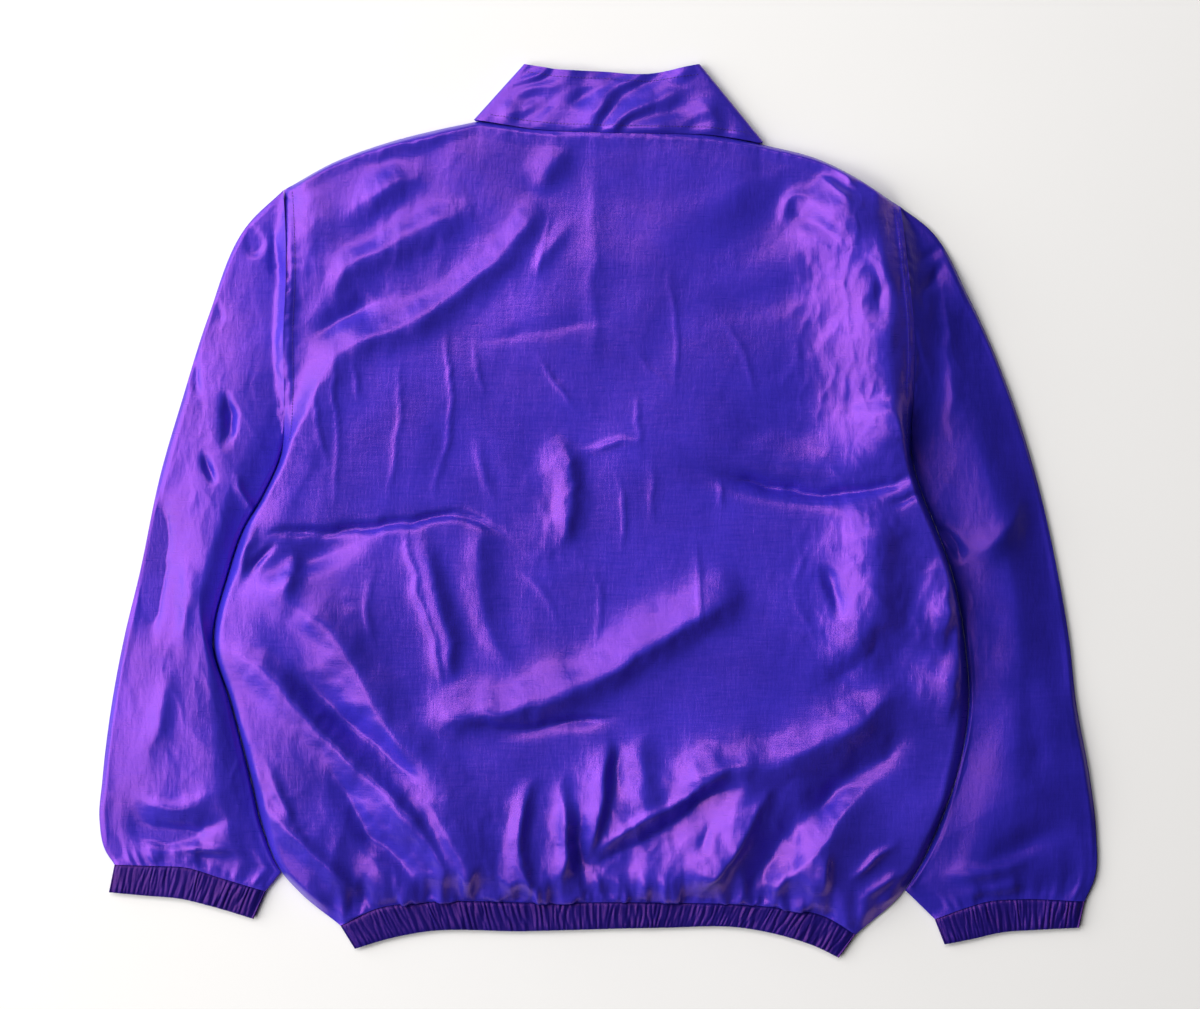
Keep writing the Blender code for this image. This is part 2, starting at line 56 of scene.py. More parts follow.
# Rows, columns and points of the curves and pieces, and the angles past which their edges stay sharp
CURVE_STEPS, SIDE_STEPS, SEAM_STEPS, CREASE_STEPS = 60, 1199, 200, 20
LOW_STEPS, FLANK_STEPS, ARMHOLE_STEPS = 28, 182, 104
SHOULDER_STEPS, NECK_STEPS, FRONT_NECK_STEPS = 84, 126, 40
FREE_STEPS, SLEEVE_UNDER_STEPS = 12, 9
RIB_STEPS, BAND_STEPS, CUFF_RIBS, HEM_RIBS = 9, 16, 24, 76
COLLAR_STEPS, COLLAR_TURN_STEPS = 26, 8
EVEN_SHARE = 0.6
WALL_SHARP, FRONT_SHARP = 60, 50

# Stitches, and how many rows or columns of the cloth they keep from its edges
STITCH_PITCH, STITCH_LENGTH, STITCH_THICKNESS = 3.0, 2.3, 0.6
STITCH_LIFT, STITCH_SHOULDER = 0.25, 0.3
STITCH_INSET, COLLAR_STITCH_INSET = 4, 3

# Outlines of the pieces, the same as the solids have
BodySection = namedtuple("BodySection", "along left right")
BODY = table(BodySection, (
    (-344, -268, 273),
    (-325, -285, 286),
    (-288, -301, 304),
    (-239, -313, 322),
    (-171, -331, 333),
    (-124, -346, 330),
    (-57, -333, 318),
    (-17, -319, 304),
    (12, -302, 292),
    (52, -285, 281),
    (99, -281, 281),
    (158, -281, 281),
    (207, -279, 277),
    (250, -280, 273),
))
Edge = namedtuple("Edge", "across along")
HEM_SEAM = (
    Edge(-232, -373), Edge(-198, -357), Edge(-160, -352), Edge(-53, -352), Edge(55, -352),
    Edge(129, -354), Edge(165, -357), Edge(202, -364), Edge(231, -381),
)
HEM_EDGE = (
    Edge(-219, -394), Edge(-197, -387), Edge(-160, -379), Edge(-68, -378), Edge(55, -375),
    Edge(129, -375), Edge(165, -382), Edge(198, -393), Edge(216, -402),
)
LEFT_SHOULDER = (Edge(-283, 288), Edge(-238, 313), Edge(-192, 330), Edge(-146, 342), Edge(-108, 350))
BACK_NECK = (Edge(-108, 350), Edge(-54, 341), Edge(-3, 338), Edge(47, 337), Edge(101, 336), Edge(144, 330))
RIGHT_SHOULDER = (Edge(144, 330), Edge(200, 315), Edge(232, 299), Edge(271, 273))
LEFT_FRONT_NECK = (Edge(-108, 350), Edge(-88, 303), Edge(-45, 271), Edge(18, 262))
RIGHT_FRONT_NECK = (Edge(18, 262), Edge(78, 267), Edge(124, 290), Edge(144, 330))
COLLAR_LEFT_DIP = (Edge(-14, 332), Edge(-38, 355))
COLLAR_RIGHT_DIP = (Edge(68, 354), Edge(46, 331))
COLLAR_TOP = (Edge(-63, 400), Edge(-35, 395.5), Edge(3, 394), Edge(42, 391.5), Edge(64, 395), Edge(87, 400))
SleeveSection = namedtuple("SleeveSection", "across along outer_loft inner_loft")
LEFT_SLEEVE = table(SleeveSection, (
    (-283, 288, 14, 14),
    (-315, 257, 13, 20),
    (-351, 173, 12, 26),
    (-374, 100, 12, 30),
    (-393, 35, 12, 31),
    (-413, -59, 12, 31),
    (-426, -113, 13, 30),
    (-437, -171, 14, 28),
    (-446, -243, 18, 26),
    (-448.5, -278, 20, 22),
    (-443, -306, 16, 16),
    (-435, -318, 8, 8),
))
RIGHT_SLEEVE = table(SleeveSection, (
    (271, 273, 14, 14),
    (297, 253, 16, 20),
    (334, 189, 18, 22),
    (366, 115, 16, 26),
    (389, 45, 14, 27),
    (414, -63, 12, 24),
    (423, -117, 12, 22),
    (429, -171, 13, 22),
    (442, -243, 16, 24),
    (447.4, -290, 20, 22),
    (446, -331, 16, 16),
    (437, -351, 8, 8),
))
LEFT_CUFF_SEAM = (Edge(-435, -318), Edge(-402, -319), Edge(-368, -321), Edge(-342, -329), Edge(-299, -342))
LEFT_CUFF_EDGE = (Edge(-440, -343), Edge(-408, -346), Edge(-375, -349), Edge(-350, -355), Edge(-310, -367))
RIGHT_CUFF_SEAM = (Edge(302, -367), Edge(329, -357), Edge(350, -351), Edge(378, -349), Edge(437, -351))
RIGHT_CUFF_EDGE = (Edge(311, -390), Edge(336, -385), Edge(363, -379), Edge(391, -377), Edge(432, -375))

# The back's height: on its edges, over its crown, and how far in from each edge it rounds over
BACK_RIM, NECK_RIM, RIM_ARCH, NECK_ARCH, EDGE_SOFTNESS = 1.9, 16.0, 0.7, 0.6, 2.0
ARMHOLE_RIM = {"left": 21.0, "right": 28.0}
SIDE_ROUND, HEM_ROUND, TOP_ROUND = 11.0, 44.0, 5.0
ARMHOLE_ROUND, ARMHOLE_ROUND_START = 22.0, 60.0
Crown = namedtuple("Crown", "along height")
BACK_CROWN = (
    Crown(-375, 13), Crown(-340, 21), Crown(-290, 27), Crown(-120, 26), Crown(60, 25), Crown(220, 20),
    Crown(350, 11),
)
LEFT_CROWN, LEFT_CROWN_REACH = 0.75, 50.0
NECK_LIFT, NECK_LIFT_REACH = 5.0, 60.0
Corner = namedtuple("Corner", "x width y length drop")
LOW_CORNER = Corner(120, 210, -60, 160, 14)

# Puckers and the ridge beside the back's seams, and the cloth that hangs over the hem
ARMHOLE_PUCKER, SLEEVE_PUCKER, PUCKER_REACH = 0.7, 0.6, 13.0
NECK_PUCKER, NECK_PUCKER_REACH = 0.35, 10.0
PUCKER_LEAD, PUCKER_START, PUCKER_EDGE = 20.0, 30.0, 2.0
SEAM_RIDGE, SEAM_RIDGE_PLACE, SEAM_RIDGE_WIDTH, SEAM_RIDGE_START = 1.1, 5.0, 2.2, 25.0
BLOUSE_SHARE, BLOUSE_HANG, BLOUSE_RISE = 0.25, 5.0, 1.5
BLOUSE_START, BLOUSE_REACH, BLOUSE_EASE = 4.0, 15.0, 40.0
Ripple = namedtuple("Ripple", "height spacing length seed")
PUCKERS = (Ripple(1.0, 5.5, 9, 81), Ripple(0.6, 2.6, 6, 82))
SIDE_RIPPLES = (Ripple(0.3, 45, 400, 31),)
HEM_RIPPLES = (Ripple(0.32, 13, 300, 32), Ripple(0.12, 5, 300, 33))
BLOUSE_RIPPLES = (Ripple(1.0, 17, 300, 34), Ripple(0.5, 6, 300, 35))

# Gathers that run out of the elastic into the back and the sleeves
HEM_GATHER, HEM_GATHER_EASE, CUFF_GATHER, CUFF_GATHER_EASE = 1.4, 20.0, 0.9, 14.0
Gather = namedtuple("Gather", "height spacing length reach rise seed")
GATHERS = (
    Gather(1.2, 4.2, 60, 13, 3.5, 71),
    Gather(2.6, 10, 110, 32, 6, 72),
    Gather(4.4, 24, 200, 75, 14, 73),
)

# The sleeves' heights, as shares of their lofts, and how far in from each edge they round over
SLEEVE_RIM, LEAST_SLEEVE, SLEEVE_PINCH = WALL + 1.0, 2 * WALL + 0.8, 0.6
OUTER_ROUND, CUFF_ROUND = 6.0, 34.0
INNER_ROUND = {"left": 4.0, "right": 7.0}
SLEEVE_TOP_ROUND = {"left": 22.0, "right": 90.0}
OUTER_SHARE, LEFT_SLEEVE_ARCH = 0.4, 1.2
SleeveCrown = namedtuple("SleeveCrown", "rise crest fall fall_start")
SLEEVE_CROWNS = {"left": SleeveCrown(0.36, 5 / 6, 0.28, 0.72), "right": SleeveCrown(0.5, 0.5, 0.5, 0.45)}

# The elastic casings and their ribs, whose waves are counted in ribs and in casing widths
LEAST_BAND, LEAST_HOLLOW = 2 * BAND_WALL + 0.6, 0.4
BAND_WIDTH, BAND_END_ROUND, BAND_EDGE_ROUND, BAND_SEAM_ROUND = 24.0, 9.0, 3.5, 3.0
BAND_EDGE_SHARE, BAND_MOUTH_SHARE, RIB_MOUTH_SHARE = 0.3, 0.45, 0.55
RIB_HEIGHT, RIB_ROUND, RIB_TALL = 1.3, 0.8, 0.6
RibWave = namedtuple("RibWave", "height across along seed")
RIB_SWAY = (RibWave(0.7, 0.4, 0.8, 91), RibWave(0.35, 1.1, 1.4, 92))
RIB_UNEVEN = (RibWave(0.6, 0.45, 1.2, 93),)
RIB_FINE = (RibWave(0.35, 3.1, 1.5, 94),)

# The back of the collar, with its folds in pixels of the photograph
COLLAR_CROWN, COLLAR_SLOPE, COLLAR_TURN_SLANT = 10.0, 11.0, 0.25
COLLAR_WIDTH, COLLAR_SEAM_ROUND = 60.0, 5.0
COLLAR_FOLD_HEIGHT, COLLAR_FOLD_SPACING, COLLAR_FOLD_SLANT = 3.0, 50.0, 0.8
COLLAR_FOLD_CREST, COLLAR_FOLD_EASE = 0.6, 1 / 3
COLLAR_FOLD_UNEVEN = (Ripple(2.0, 1 / 1.7, 22, 25),)
COLLAR_SWAY = (Ripple(0.8, 58, 34, 24),)
COLLAR_RIPPLES = (Ripple(1.3, 17, 14, 27),)

# The largest folds, where the solids have them
Fold = namedtuple("Fold", "start_x start_y end_x end_y bow left_reach right_reach height")
BACK_FOLDS = (
    Fold(-330, -60, -190, -10, -8, 22, 18, -8),
    Fold(60, 50, 268, 22, -14, 20, 18, -8),
    Fold(238, 262, 262, 60, -14, 46, 70, 5),
)
LEFT_SLEEVE_FOLDS = (
    Fold(-430, -262, -330, -318, -8, 22, 18, -6),
)
RIGHT_SLEEVE_FOLDS = (
    Fold(340, -330, 430, -282, 6, 22, 20, -7),
)

# Creases are placed in pixels of the photograph, 0.9 mm each, X to the right and Y down. A crease
# follows its path, rises by CREASE_GAIN times its height in millimetres, and falls away over one reach
# on its left and another on its right, as seen along the path. Edge is 0 for a soft roll and 1 for a
# sharp ridge.
PIXEL, PIXEL_X, PIXEL_Y = 0.9, 598.5, 510.5
CREASE_GAIN, CREASE_END, LONGEST_END = 1.55, 55.0, 0.45
FOLD_TAPER, ROLL_FALL, RIDGE_FALL, RIDGE_TIP = 1.5, 2.2, 2.4, 0.1
UNEVEN, UNEVEN_SPACING, UNEVEN_SEED = 0.3, 30.0, 60
Wander = namedtuple("Wander", "shift size seed_x seed_y")
WANDERS = (Wander(4, 70, 1, 3), Wander(2.2, 22, 2, 4), Wander(0.8, 9, 5, 6))
Crease = namedtuple("Crease", "path left_reach right_reach height edge")
BACK_CREASES = table(Crease, (
    # slanting folds below the left shoulder
    (((478, 126), (420, 142), (352, 160)), 12, 9, 2.2, 0.3),
    (((440, 174), (382, 194), (334, 226)), 20, 24, 4.4, 0.15),
    (((484, 208), (396, 248), (354, 270), (330, 310)), 22, 24, 4.8, 0.15),
    (((540, 190), (524, 236), (486, 274), (444, 305), (376, 338), (318, 366)), 22, 22, 4.8, 0.2),
    (((572, 136), (556, 162), (526, 196)), 18, 24, 4.0, 0.1),
    (((572, 216), (550, 258), (532, 288)), 14, 14, 2.0, 0.2),
    (((402, 290), (346, 318), (306, 344)), 16, 18, -4.6, 0.2),
    (((292, 170), (291, 240), (290, 320)), 44, 7, 5.0, 0.1),
    (((356, 340), (326, 388), (285, 470), (260, 522)), 34, 20, 3.6, 0.3),
    # packing creases
    (((357, 358), (362, 380), (366, 402)), 4, 5, 1.0, 0.9),
    (((402, 343), (398, 430), (394, 515)), 5, 5, 0.8, 0.9),
    (((444, 316), (452, 395), (431, 511)), 5, 5, 0.9, 0.9),
    (((478, 337), (488, 400)), 4, 6, 0.8, 0.9),
    (((531, 343), (555, 380), (583, 416)), 4, 5, 0.9, 0.9),
    (((634, 385), (637, 453)), 4, 5, 0.9, 0.9),
    (((653, 448), (655, 535)), 5, 5, 0.7, 0.9),
    (((714, 470), (719, 512)), 5, 5, 0.9, 0.9),
    (((337, 330), (343, 430), (341, 520)), 5, 5, 0.7, 0.9),
    (((328, 364), (322, 420), (340, 478)), 4, 6, 0.9, 0.8),
    (((473, 427), (486, 470), (500, 512)), 7, 8, 0.9, 0.4),
    (((552, 206), (546, 250), (540, 296)), 3, 4, 0.8, 0.9),
    (((473, 345), (545, 332), (622, 316)), 12, 9, -0.8, 0.4),
    (((592, 150), (594, 250), (590, 380)), 12, 14, 0.9, 0.3),
    (((620, 330), (650, 372), (690, 400)), 5, 6, 0.5, 0.8),
    (((668, 250), (676, 330), (672, 410)), 5, 5, 0.6, 0.8),
    (((705, 300), (735, 345), (762, 420)), 6, 6, 0.6, 0.6),
    (((596, 560), (600, 600), (594, 652)), 4, 5, 0.8, 0.9),
    (((690, 530), (698, 580), (692, 640)), 5, 6, 1.0, 0.7),
    (((620, 470), (628, 510), (622, 560)), 4, 5, 0.9, 0.8),
    (((500, 560), (540, 590), (560, 640)), 6, 6, 0.6, 0.6),
    (((380, 560), (372, 610), (384, 660)), 5, 6, 1.0, 0.7),
    # crease into the left side and the rolls round it
    (((260, 538), (345, 530), (426, 521), (474, 507)), 8, 9, -4.8, 0.7),
    (((420, 521), (470, 516), (516, 543)), 7, 7, -2.6, 0.7),
    (((252, 580), (264, 560), (284, 544)), 7, 7, -3.6, 0.4),
    (((302, 548), (295, 575), (284, 602)), 14, 17, 4.6, 0.3),
    (((264, 518), (247, 556), (238, 588)), 10, 11, 3.2, 0.3),
    (((418, 520), (432, 571), (446, 630), (458, 690)), 14, 28, 5.2, 0.35),
    (((404, 512), (418, 580), (436, 650), (452, 702)), 4, 5, 1.2, 0.9),
    (((488, 503), (478, 570), (490, 633), (524, 680)), 20, 20, 2.6, 0.3),
    # the long ridge from the left side to the hem, and those below it
    (
        (
            (240, 584), (290, 600), (330, 628), (358, 668), (382, 715), (410, 765), (436, 815), (462, 862),
            (498, 912),
        ),
        48, 30, 6.4, 0.4,
    ),
    (((282, 664), (345, 720), (400, 766), (446, 812)), 24, 20, -7.0, 0.3),
    (((214, 644), (262, 664), (300, 702), (338, 748), (388, 800), (432, 860)), 18, 26, 5.2, 0.4),
    (((360, 772), (412, 818), (440, 866), (462, 900)), 12, 20, 4.4, 0.4),
    (((320, 766), (376, 832), (430, 896)), 14, 14, -4.6, 0.3),
    (((250, 786), (296, 830), (340, 872), (372, 906)), 12, 18, 4.2, 0.4),
    (((262, 742), (282, 790), (312, 846)), 9, 14, 3.0, 0.4),
    (((232, 700), (250, 760), (272, 812)), 10, 14, 2.6, 0.3),
    # middle of the back
    (((562, 424), (571, 500), (560, 568)), 16, 32, 5.6, 0.2),
    (((572, 453), (610, 446), (646, 436)), 6, 7, 1.7, 0.6),
    # crease into the right armpit
    (((700, 465), (779, 489), (837, 495), (884, 485), (920, 466)), 9, 9, -5.2, 0.7),
    (((880, 509), (925, 486)), 6, 6, -3.0, 0.7),
    # ragged slopes beside the right armhole, with the hollows in them
    (((800, 186), (862, 246), (888, 302), (893, 380), (892, 480)), 46, 64, 10.6, 0.05),
    (((774, 236), (788, 206), (822, 197)), 12, 12, 2.8, 0.3),
    (((780, 212), (815, 230), (852, 254)), 11, 13, -3.6, 0.2),
    (((852, 248), (873, 290), (879, 340)), 11, 12, -3.6, 0.2),
    (((813, 176), (832, 192), (852, 214)), 8, 8, 2.6, 0.5),
    (((833, 170), (858, 198)), 7, 7, 2.2, 0.5),
    (((868, 492), (872, 560), (868, 620), (850, 690)), 36, 48, 8.8, 0.1),
    (((816, 562), (830, 592), (842, 626)), 9, 10, -3.8, 0.2),
    (((800, 694), (866, 658), (892, 606)), 22, 64, -5.4, 0.2),
    # long ridge across the small of the back and the creases under it
    (
        ((414, 718), (456, 716), (500, 713), (560, 695), (620, 665), (705, 611), (750, 586)),
        44, 24, 9.4, 0.35,
    ),
    (((458, 724), (520, 727), (580, 718), (632, 716)), 7, 14, -4.0, 0.5),
    (((606, 724), (604, 770), (594, 830), (578, 868)), 8, 30, 6.0, 0.3),
    (((615, 735), (616, 804)), 11, 9, -2.8, 0.3),
    (((652, 718), (640, 757), (645, 800), (660, 830)), 20, 24, 4.4, 0.35),
    # legs in the middle of the hem
    (((540, 764), (525, 800), (519, 840), (527, 880), (548, 918)), 10, 18, 5.4, 0.3),
    (((562, 764), (567, 820), (563, 868), (554, 912)), 12, 16, 5.4, 0.3),
    (((586, 796), (578, 850), (588, 902)), 15, 12, -7.0, 0.2),
    # troughs above the hem and the ridges round them
    (((583, 872), (629, 843), (676, 819), (732, 776)), 13, 38, -7.4, 0.3),
    (((590, 852), (636, 820), (700, 786), (736, 760)), 10, 8, 3.4, 0.6),
    (
        ((666, 808), (684, 783), (711, 769), (751, 764), (786, 759), (821, 739), (861, 715), (912, 688)),
        40, 34, 9.0, 0.4,
    ),
    (((692, 806), (716, 790), (748, 783)), 12, 14, -2.6, 0.3),
    (((684, 912), (710, 884), (738, 843), (759, 806), (784, 772)), 38, 13, 6.6, 0.4),
    (((699, 853), (718, 808)), 9, 9, -2.0, 0.4),
    (((734, 910), (757, 881), (792, 829), (826, 795), (873, 760), (922, 735)), 24, 18, -6.4, 0.25),
    (((763, 912), (786, 878), (815, 843), (838, 808), (870, 782)), 15, 40, 4.4, 0.6),
    (((822, 842), (816, 892)), 10, 20, 5.0, 0.3),
    (((850, 898), (880, 880), (912, 862)), 10, 10, 3.4, 0.5),
    (((838, 880), (872, 852), (904, 836)), 9, 10, 2.8, 0.5),
    (((880, 905), (905, 884)), 8, 8, 2.6, 0.5),
    # beside the right edge
    (((942, 552), (941, 600), (935, 652)), 14, 34, 7.0, 0.2),
    (((950, 644), (948, 690), (940, 730)), 13, 34, 7.0, 0.2),
    # the broad hollow that the right-hand slopes rise from
    (((752, 180), (790, 270), (808, 360), (806, 480)), 62, 100, -5.4, 0.05),
))
LEFT_SLEEVE_CREASES = table(Crease, (
    (((252, 222), (255, 242), (252, 262)), 9, 9, -5.0, 0.2),
    (((278, 218), (275, 260), (276, 306)), 7, 7, -3.6, 0.3),
    (((288, 300), (284, 360), (291, 412)), 5, 5, 2.2, 0.5),
    (((228, 386), (231, 425), (224, 454)), 7, 9, -5.0, 0.2),
    (((208, 292), (216, 308), (228, 322)), 6, 6, -3.2, 0.3),
    (((200, 352), (196, 375), (200, 398)), 8, 8, -3.0, 0.2),
    (((204, 448), (210, 468), (216, 486)), 7, 7, -3.4, 0.3),
    (((240, 470), (246, 500), (262, 528)), 6, 8, 2.4, 0.5),
    (((166, 480), (160, 560), (152, 650)), 12, 14, -3.6, 0.1),
    (((178, 540), (190, 600), (186, 660)), 16, 14, 2.6, 0.2),
    (((170, 660), (160, 720), (150, 780)), 14, 18, 2.6, 0.2),
    (((122, 822), (160, 834), (200, 826), (240, 808)), 16, 12, -5.0, 0.3),
    (((130, 800), (176, 806), (232, 788)), 12, 12, 2.8, 0.4),
    (((150, 852), (200, 846), (250, 850)), 8, 9, 3.0, 0.5),
))
RIGHT_SLEEVE_CREASES = table(Crease, (
    (((902, 273), (922, 262), (946, 245)), 7, 7, -4.0, 0.3),
    (((904, 306), (924, 288), (948, 262)), 8, 8, -4.4, 0.3),
    (((940, 270), (945, 350), (948, 450)), 22, 10, 2.0, 0.5),
    (((955, 562), (985, 546), (1008, 526), (1022, 494)), 19, 24, 4.0, 0.4),
    (((932, 520), (952, 545), (966, 566)), 10, 10, -5.0, 0.3),
    (((965, 572), (972, 660), (966, 770)), 26, 22, 2.0, 0.2),
    (((1010, 640), (1030, 720), (1036, 800)), 26, 30, -2.4, 0.1),
    (((938, 874), (1000, 866), (1050, 848)), 10, 12, 3.6, 0.4),
    (((950, 892), (1000, 884), (1040, 880)), 8, 8, 2.4, 0.5),
))

Sleeve = namedtuple("Sleeve", "outline cuff_seam cuff_edge folds creases")
SLEEVES = {
    "left": Sleeve(
        LEFT_SLEEVE, LEFT_CUFF_SEAM, LEFT_CUFF_EDGE, LEFT_SLEEVE_FOLDS, LEFT_SLEEVE_CREASES
    ),
    "right": Sleeve(
        RIGHT_SLEEVE, RIGHT_CUFF_SEAM, RIGHT_CUFF_EDGE, RIGHT_SLEEVE_FOLDS, RIGHT_SLEEVE_CREASES
    ),
}

# Where the cloth is crinkled: middle and half sizes in pixels, and how strongly
Crinkle = namedtuple("Crinkle", "x y half_width half_height amount")
CRINKLES = table(Crinkle, (
    (845, 330, 60, 140, 1.3),
    (840, 590, 55, 100, 1.2),
    (935, 630, 40, 90, 1.2),
    (555, 500, 40, 70, 0.9),
    (560, 850, 130, 70, 0.9),
    (700, 850, 130, 80, 1.0),
    (340, 780, 110, 110, 0.7),
    (400, 250, 120, 90, 0.5),
    (215, 430, 80, 200, 0.45),
    (170, 760, 80, 120, 0.5),
    (950, 350, 60, 150, 0.5),
))
BASE_CRINKLE, CRINKLE_FALL, BACK_EASE, SLEEVE_EASE = 0.22, 1.2, 14.0, 12.0
Streak = namedtuple("Streak", "height narrow long size seed octaves")
STREAKS = (Streak(1.1, 1.4, 0.75, 36, 11, 2), Streak(0.42, 1.5, 0.7, 17, 17, 1))
COLLAR_STREAKS = (Streak(0.6, 1.0, 1.0, 24, 28, 1),)
SWELLS = (Ripple(2.3, 80, 95, 21), Ripple(1.15, 42, 55, 22))

# Cloth colours, the purple that it shines and the blue of its bloom, and the thread; the right sleeve's and
# the elastic's nylons are darker copies whose base colours are painted shade
Nylon = namedtuple("Nylon", "name deep bright roughness index")
BODY_NYLON = Nylon("nylon", (0.024, 0.020, 0.39, 1), (0.042, 0.031, 0.57, 1), 0.315, 2.0)
# A darker copy of the nylon for the right sleeve: its lower base colour is painted shade, where the light
# falls away from that side; it also shines less
SHADED_RIGHT_SLEEVE_NYLON = Nylon(
    "nylon_right_sleeve_painted_shade", (0.015, 0.014, 0.28, 1), (0.028, 0.021, 0.42, 1), 0.35, 1.5
)
# The elastic's nylon: a much darker copy whose base colour is painted shade, standing in for the shade
# between its gathered ribs
SHADED_GATHERED_NYLON = Nylon("gathered_nylon", (0.007, 0.005, 0.12, 1), (0.013, 0.009, 0.19, 1), 0.38, 1.5)
SHINE, BLOOM, SLUB_TONE = (0.80, 0.205, 0.80, 1), (0.05, 0.12, 0.8, 1), 0.35
THREAD_DEEP, THREAD_BRIGHT = (0.03, 0.012, 0.17, 1), (0.10, 0.04, 0.42, 1)

# Studio, in metres
FLOOR_SIZE, FLOOR_LEVEL, FLOOR_COLOUR = 30.0, -0.0006, (0.93, 0.93, 0.93, 1)
CAMERA_PLACE, SENSOR_WIDTH, FRAME_WIDTH = (0.00135, 0.0054, 2.4), 36.0, 1.080
WORLD_STRENGTH, LIGHT_COLOUR = 0.03, (1.0, 0.98, 0.96)
Softbox = namedtuple("Softbox", "name place width length watts")
LIGHTS = (
    Softbox("key", (-4.77, 1.28, 2.41), 8.0, 4.0, 410.0),
    Softbox("left_panel", (-3.07, -0.27, 3.94), 4.7, 1.76, 67.0),
    Softbox("low_panel", (-2.52, -1.77, 3.94), 3.0, 1.76, 30.0),
    Softbox("far_panel", (-0.5, 2.9, 3.94), 2.4, 1.5, 33.0),
    Softbox("top_panel", (-1.98, 2.36, 3.94), 4.7, 1.76, 67.0),
)


def lengths_along(points):
    """Each point's distance from the first one along a polyline."""
    return np.r_[0, np.cumsum(np.linalg.norm(np.diff(points, axis=0), axis=1))]


def smooth_curve(points, shares):
    """Points of a smooth curve through the given ones, at these shares of its length."""
    points = np.asarray(points, float)
    along = lengths_along(points)
    slopes = np.gradient(points, along, axis=0)
    places = np.linspace(0, along[-1], CURVE_STEPS * len(points))
    piece = np.clip(np.searchsorted(along, places, side="right") - 1, 0, len(points) - 2)
    span = (along[piece + 1] - along[piece])[:, None]
    t = (places - along[piece])[:, None] / span
    dense = (
        (2 * t**3 - 3 * t**2 + 1) * points[piece]
        + (t**3 - 2 * t**2 + t) * span * slopes[piece]
        + (3 * t**2 - 2 * t**3) * points[piece + 1]
        + (t**3 - t**2) * span * slopes[piece + 1]
    )
    return spread(dense, shares)


def spread(points, shares):
    """Points at these shares of a polyline's length."""
    along = lengths_along(points)
    wanted = np.asarray(shares) * along[-1]
    return np.stack([np.interp(wanted, along, points[:, i]) for i in range(points.shape[1])], axis=1)


def moved_aside(points, distance):
    """A polyline moved to its left by a distance."""
    run = np.gradient(points, axis=0)
    run /= np.linalg.norm(run, axis=1)[:, None]
    return points + distance * np.stack([-run[:, 1], run[:, 0]], axis=1)


def steps(count):
    return np.linspace(0, 1, count + 1)


def crowded(count):
    """Shares from 0 to 1 that lie closer together near both ends."""
    even = steps(count)
    return EVEN_SHARE * even + (1 - EVEN_SHARE) * (0.5 - 0.5 * np.cos(np.pi * even))


def shares_along(points):
    along = lengths_along(points)
    return along / along[-1]


def patch(bottom, top, left, right, rows, columns):
    """Plan points [row, column] of a patch that spans four edges meeting at its corners."""
    u, v = columns[None, :, None], rows[:, None, None]
    ruled = (1 - v) * bottom + v * top + (1 - u) * left[:, None] + u * right[:, None]
    corners = (1 - v) * ((1 - u) * bottom[0] + u * bottom[-1]) + v * ((1 - u) * top[0] + u * top[-1])
    return ruled - corners


def rounded(distance, reach):
    """0 on an edge, rounding over to 1 at the reach."""
    return np.sin(np.pi / 2 * np.clip(distance / reach, 0, 1))


def smooth_step(t):
    t = np.clip(t, 0, 1)
    return t * t * (3 - 2 * t)


def lattice(ix, iy, seed):
    """An even spread of numbers from -1 to 1 on whole-number points."""
    n = (ix * 374761393 + iy * 668265263 + seed * 974634777) & 0xFFFFFFFF
    n = ((n ^ (n >> 13)) * 1274126177) & 0xFFFFFFFF
    n = ((n ^ (n >> 15)) * 2246822519) & 0xFFFFFFFF
    return ((n ^ (n >> 16)) & 0xFFFF) / 32767.5 - 1


def noise(x, y, seed):
    """Smooth noise from -1 to 1 with features about one unit across."""
    fx, fy = np.floor(x), np.floor(y)
    ix, iy = fx.astype(np.int64), fy.astype(np.int64)
    tx, ty = x - fx, y - fy
    tx, ty = (t**3 * (t * (6 * t - 15) + 10) for t in (tx, ty))
    low = (1 - tx) * lattice(ix, iy, seed) + tx * lattice(ix + 1, iy, seed)
    high = (1 - tx) * lattice(ix, iy + 1, seed) + tx * lattice(ix + 1, iy + 1, seed)
    return (1 - ty) * low + ty * high


def crumple(x, y, size, seed, octaves=3):
    """Crushed cloth: sharp little ridges between smooth hollows, turned a new way at each scale."""
    total = 0
    for octave in range(octaves):
        turn = 0.7 + 1.9 * octave + seed
        a = (x * np.cos(turn) + y * np.sin(turn)) / size * 1.9**octave
        b = (y * np.cos(turn) - x * np.sin(turn)) / size * 1.9**octave
        a = a + 0.35 * noise(1.3 * a, 1.3 * b, seed + 40 + octave)
        b = b + 0.35 * noise(1.3 * a, 1.3 * b, seed + 50 + octave)
        total = total + (0.5 - np.abs(noise(a, b, seed + octave))) * 0.5**octave
    return total


def in_pixels(x, y):
    return x / PIXEL + PIXEL_X, PIXEL_Y - y / PIXEL


def fading(away, reach):
    """1 on a line, fading softly to nothing past the reach."""
    return np.exp(-((away / reach) ** 2))


def from_share(share, t):
    """A share where t is 0, rising to 1 where t is 1."""
    return share + (1 - share) * t


def ripples(along, away, rows):
    """The sum of uneven waves with these heights, spacings along a line and lengths away from it."""
    return sum(row.height * noise(along / row.spacing, away / row.length, row.seed) for row in rows)


def streaks(px, py, rows):
    return sum(r.height * crumple(r.narrow * px, r.long * py, r.size, r.seed, r.octaves) for r in rows)


